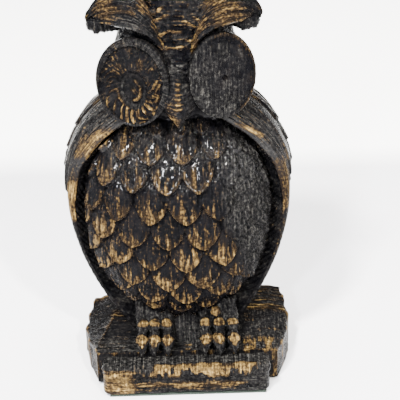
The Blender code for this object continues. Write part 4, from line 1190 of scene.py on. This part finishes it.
def gilded_enamel(name, matt):
    """Black gloss enamel, brushed over with gold paint.

    Enamel brushed on carved wood is glossy, varies in cloudy patches from bluish to brownish black, and shows brown
    where the gold paint lies thin.
    Gold paint dragged with a nearly dry brush breaks up into streaks a millimetre wide along the stroke.
    """
    material, tree, shader = new_material(name)
    gold = add(tree, "Attribute", {"attribute_name": "gold"}, "Fac")
    wear_and_sheen = add(tree, "Attribute", {"attribute_name": "wear_and_sheen"}, "Fac")
    brush = add(tree, "Attribute", {"attribute_name": "brush"}, "Vector")
    place = add(tree, "TexCoord", out="Object")
    stroke = add(tree, "Mapping", Vector=brush, Scale=STREAKS_PER_MM)
    streak = add(tree, "TexNoise", Vector=stroke, Scale=1.0, Detail=5.0, Roughness=0.68)
    grain = add(tree, "TexNoise", Vector=place, Scale=LUMPS_PER_M, Detail=3.0, Roughness=0.6)
    cloud = add(tree, "TexNoise", Vector=place, Scale=CLOUDS_PER_M, Detail=4.0, Roughness=0.6)
    broken = add(tree, "Math", SCALED, i0=streak, i1=2.6, i2=-1.3)
    broken = add(tree, "Math", SCALED, i0=grain, i1=1.7, i2=add(tree, "Math", PLUS, i0=broken, i1=-0.85))
    # Gold shows where its share and the broken stroke together pass a level, and nowhere without any share.
    amount = add(tree, "Math", PLUS, i0=gold, i1=broken)
    mask = add(tree, "MapRange", SMOOTH, Value=amount, From_Min=0.34, From_Max=0.86)
    present = add(tree, "MapRange", SMOOTH, Value=gold, From_Min=0.03, From_Max=0.20)
    mask = add(tree, "Math", TIMES, i0=mask, i1=present)
    black = add(tree, "ValToRGB", stops=((0.35, "#020203"), (0.55, "#060608"), (0.7, "#0D0B0B")), Fac=cloud)
    # Rubbed places are grey along the stroke. Where the rubbing map is raised on the upper breast, the eye's ring,
    # the tops of the block and step and the feet, this grey is painted sheen and glints, and painted light that lifts
    # shade.
    scuff_and_sheen = add(tree, "Math", TIMES, i0=streak, i1=1.4)
    scuff_and_sheen = add(tree, "Math", TIMES | {"use_clamp": True}, i0=wear_and_sheen, i1=scuff_and_sheen)
    dragged = add(tree, "Math", TIMES, i0=add(tree, "Math", PLUS, i0=grain, i1=streak), i1=0.5)
    rubbed_grey_and_sheen = add(tree, "ValToRGB", stops=((0.42, "#060606"), (0.53, "#232221"), (0.64, "#53524E")), Fac=dragged)
    dark = add(tree, "MixRGB", Fac=scuff_and_sheen, Color1=black, Color2=rubbed_grey_and_sheen)
    # A brown glaze of thin paint lies in patches wherever a brush has passed.
    glaze = add(tree, "MapRange", SMOOTH, Value=broken, From_Min=0.1, From_Max=0.9, To_Max=0.35)
    dark = add(tree, "MixRGB", Fac=glaze, Color1=dark, Color2=linear("#1C1207"))
    thin = add(tree, "MapRange", SMOOTH, Value=gold, From_Min=0.26, From_Max=0.70, To_Max=0.75)
    dark = add(tree, "MixRGB", Fac=thin, Color1=dark, Color2=linear("#1C150D"))
    # Thick paint is lighter: streak + 0.32 (gold - 0.9) + 0.6 (grain - 0.5).
    rich = add(tree, "Math", SCALED, i0=gold, i1=0.32, i2=add(tree, "Math", SCALED, i0=grain, i1=0.6, i2=-0.588))
    rich = add(tree, "Math", PLUS, i0=streak, i1=rich)
    gilt = ((0.30, "#120D07"), (0.44, "#33271A"), (0.58, "#604D2B"), (0.76, "#A08652"))
    paint = add(tree, "ValToRGB", stops=gilt, Fac=rich)
    tree.links.new(add(tree, "MixRGB", Fac=mask, Color1=dark, Color2=paint), shader.inputs["Base Color"])
    gloss = add(tree, "MapRange", Value=cloud, From_Min=0.35, From_Max=0.65, To_Min=0.06 + matt, To_Max=0.17 + matt)
    gloss = add(tree, "Math", SCALED, i0=wear_and_sheen, i1=0.03, i2=gloss)
    dull = add(tree, "MixRGB", Fac=mask, Color1=gloss, Color2=(0.46, 0.46, 0.46, 1))
    tree.links.new(dull, shader.inputs["Roughness"])
    tree.links.new(add(tree, "Math", TIMES, i0=mask, i1=0.2), shader.inputs["Metallic"])
    shader.inputs["IOR"].default_value = 1.5
    shader.inputs["Specular IOR Level"].default_value = 0.02
    # The throat and the front of the shoulders were flooded with a second, glossier coat.
    height = add(tree, "SeparateXYZ", out="Z", Vector=place)
    flooded = add(tree, "MapRange", SMOOTH, Value=height, From_Min=0.092, From_Max=0.112, To_Max=0.2)
    below = add(tree, "MapRange", SMOOTH, Value=height, From_Min=0.134, From_Max=0.126)
    depth = add(tree, "SeparateXYZ", out="Y", Vector=place)
    ahead = add(tree, "MapRange", SMOOTH, Value=depth, From_Min=0.004, From_Max=-0.008)
    flooded = add(tree, "Math", TIMES, i0=flooded, i1=add(tree, "Math", TIMES, i0=below, i1=ahead))
    flooded = add(tree, "Math", TIMES, i0=flooded, i1=add(tree, "Math", SCALED, i0=mask, i1=-0.7, i2=1.0))
    tree.links.new(flooded, shader.inputs["Coat Weight"])
    shader.inputs["Coat Roughness"].default_value = 0.08
    # Brush ridges, lumps of paint and the plates of crackled enamel stand a few tenths of a millimetre high.
    crackle = add(tree, "TexVoronoi", {"feature": "DISTANCE_TO_EDGE"}, "Distance", Vector=place, Scale=CRACKS_PER_M)
    crackle = add(tree, "Math", TIMES, i0=add(tree, "Math", LEAST, i0=crackle, i1=0.2), i1=wear_and_sheen)
    relief = add(tree, "Math", SCALED, i0=streak, i1=1.2, i2=add(tree, "Math", TIMES, i0=grain, i1=1.1))
    relief = add(tree, "Math", SCALED, i0=mask, i1=0.25, i2=relief)
    relief = add(tree, "Math", SCALED, i0=crackle, i1=3.0, i2=relief)
    bump = add(tree, "Bump", Height=relief, Strength=0.62, Distance=0.001)
    tree.links.new(bump, shader.inputs["Normal"])
    return material


def plain(name, colour, dark, scale, roughness, metallic, bump):
    """A plain material whose colour varies a little with a noise of a given size."""
    material, tree, shader = new_material(name)
    place = add(tree, "TexCoord", out="Object")
    grain = add(tree, "TexNoise", Vector=place, Scale=scale, Detail=4.0)
    tree.links.new(add(tree, "ValToRGB", stops=((0.3, dark), (0.7, colour)), Fac=grain), shader.inputs["Base Color"])
    tree.links.new(add(tree, "Bump", Height=grain, Strength=0.4, Distance=bump), shader.inputs["Normal"])
    shader.inputs["Roughness"].default_value = roughness
    shader.inputs["Metallic"].default_value = metallic
    return material


# ---------------------------------------------------------------- stage

CAMERA_TARGET_MM = (8, 8, 80)
CAMERA_DISTANCE = 0.520
CAMERA_TIP = math.radians(25)
CAMERA_ROLL = math.radians(-1.7)
SENSOR_MM = 36
LENS_MM = SENSOR_MM * 1107 / 400
# Where the floor brightens into the sheet behind the owl, in metres.
FLOOR_END, SHEET_START = 0.225, 0.262


def make_stage():
    """A pale floor, laid as a fine grid, with a whiter sheet beyond a soft line behind the owl that glows: painted
    light standing in for a lit wall.
    """
    across = np.linspace(-9, 9, 25)
    x, y = np.meshgrid(across, across)
    count = len(across)
    i = np.arange(count - 1)[:, None] * count + np.arange(count - 1)[None, :]
    faces = np.stack([i, i + 1, i + count + 1, i + count], axis=-1).reshape(-1, 4)
    verts = np.stack([x, y, np.zeros_like(x)], axis=-1).reshape(-1, 3)
    mesh = bpy.data.meshes.new("floor")
    mesh.from_pydata(verts.tolist(), [], faces.tolist())
    material, tree, shader = new_material("pale_paper")
    place = add(tree, "TexCoord", out="Object")
    back = add(tree, "SeparateXYZ", out="Y", Vector=place)
    pale = ((0.0, "#FAF9FC"), (FLOOR_END, "#F4F3F6"), (SHEET_START, "#FFFEFA"))
    paper = add(tree, "ValToRGB", stops=pale, Fac=back)
    tree.links.new(paper, shader.inputs["Base Color"])
    # The sheet behind the owl glows with its own light: painted light, for a wall lit from the room.
    glow = add(tree, "ValToRGB", stops=((FLOOR_END, 0.0), (SHEET_START, 1.0)), Fac=back)
    tree.links.new(glow, shader.inputs["Emission Color"])
    shader.inputs["Emission Strength"].default_value = 3.0
    shader.inputs["Roughness"].default_value = 0.9
    mesh.materials.append(material)
    floor = bpy.data.objects.new("floor", mesh)
    bpy.context.scene.collection.objects.link(floor)


def area_light(name, place, aim, size, power_w, colour):
    """A square soft light at a place, facing a point."""
    data = bpy.data.lights.new(name, "AREA")
    data.size = size
    data.energy = power_w
    data.color = linear(colour)[:3]
    light = bpy.data.objects.new(name, data)
    light.location = place
    light.rotation_euler = (Vector(aim) - Vector(place)).to_track_quat("-Z", "Y").to_euler()
    bpy.context.scene.collection.objects.link(light)


def make_camera():
    """A long lens from above the owl's front, tipped down 25 degrees and rolled a little."""
    target = Vector(CAMERA_TARGET_MM) * MM
    ahead = Vector((0, math.cos(CAMERA_TIP), -math.sin(CAMERA_TIP)))
    data = bpy.data.cameras.new("camera")
    data.sensor_width = SENSOR_MM
    data.lens = LENS_MM
    camera = bpy.data.objects.new("camera", data)
    turn = ahead.to_track_quat("-Z", "Y").to_matrix().to_4x4() @ Matrix.Rotation(CAMERA_ROLL, 4, "Z")
    camera.matrix_world = Matrix.Translation(target - ahead * CAMERA_DISTANCE) @ turn
    bpy.context.scene.collection.objects.link(camera)
    bpy.context.scene.camera = camera


def make_lights():
    """A bright room: three small strong lamps in front that glint on the gloss, a broad one overhead, pale walls."""
    area_light("key", (-0.35, -0.70, 1.05), (0, 0, 0.05), 0.14, 66, "#FFFDF8")
    area_light("lamp", (0.35, -0.80, 0.80), (0, 0, 0.1), 0.06, 30, "#FFFBF2")
    area_light("low_window", (-0.28, -1.0, 0.62), (0, 0, 0.1), 0.07, 22, "#F4F8FF")
    area_light("top", (0.1, 0.3, 1.2), (0, 0.1, 0.0), 1.4, 46, "#FFFFFF")
    world = bpy.data.worlds.new("room")
    bpy.context.scene.world = world
    world.use_nodes = True
    background = world.node_tree.nodes["Background"]
    background.inputs["Color"].default_value = linear("#F4F5F7")
    background.inputs["Strength"].default_value = 0.6


def dress_hidden_pieces():
    """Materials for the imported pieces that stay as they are: felt, screws, pins, weight and dowels."""
    felt = plain("wool_felt", "#26332A", "#141C17", 2600.0, 0.95, 0.0, 0.0003)
    steel = plain("zinc_plated_steel", "#B9BAB8", "#8E8F8E", 500.0, 0.35, 1.0, 0.00005)
    iron = plain("sand_cast_iron", "#4A4A4C", "#2E2E30", 900.0, 0.7, 1.0, 0.0002)
    beech = plain("turned_beech", "#C69C6C", "#A67C4E", 300.0, 0.6, 0.0, 0.0001)
    for name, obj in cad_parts.items():
        if name == "base_felt":
            material = felt
        elif "screw" in name or "pin" in name:
            material = steel
        elif name == "base_weight":
            material = iron
        elif "dowel" in name:
            material = beech
        else:
            continue
        for slot in obj.material_slots:
            slot.material = material


def main():
    """Build, light and frame the book end."""
    enamel = gilded_enamel("black_enamel_dry_brushed_gold", 0.0)
    worn = gilded_enamel("worn_black_enamel", 0.16)
    make_camera()
    make_torso(enamel)
    make_wing("wing_left", -1, enamel)
    make_wing("wing_right", 1, enamel)
    make_head(enamel)
    make_eyes(enamel, worn)
    make_beak(enamel)
    make_feet(enamel)
    make_block(enamel)
    make_step(enamel)
    dress_hidden_pieces()
    make_stage()
    make_lights()


main()
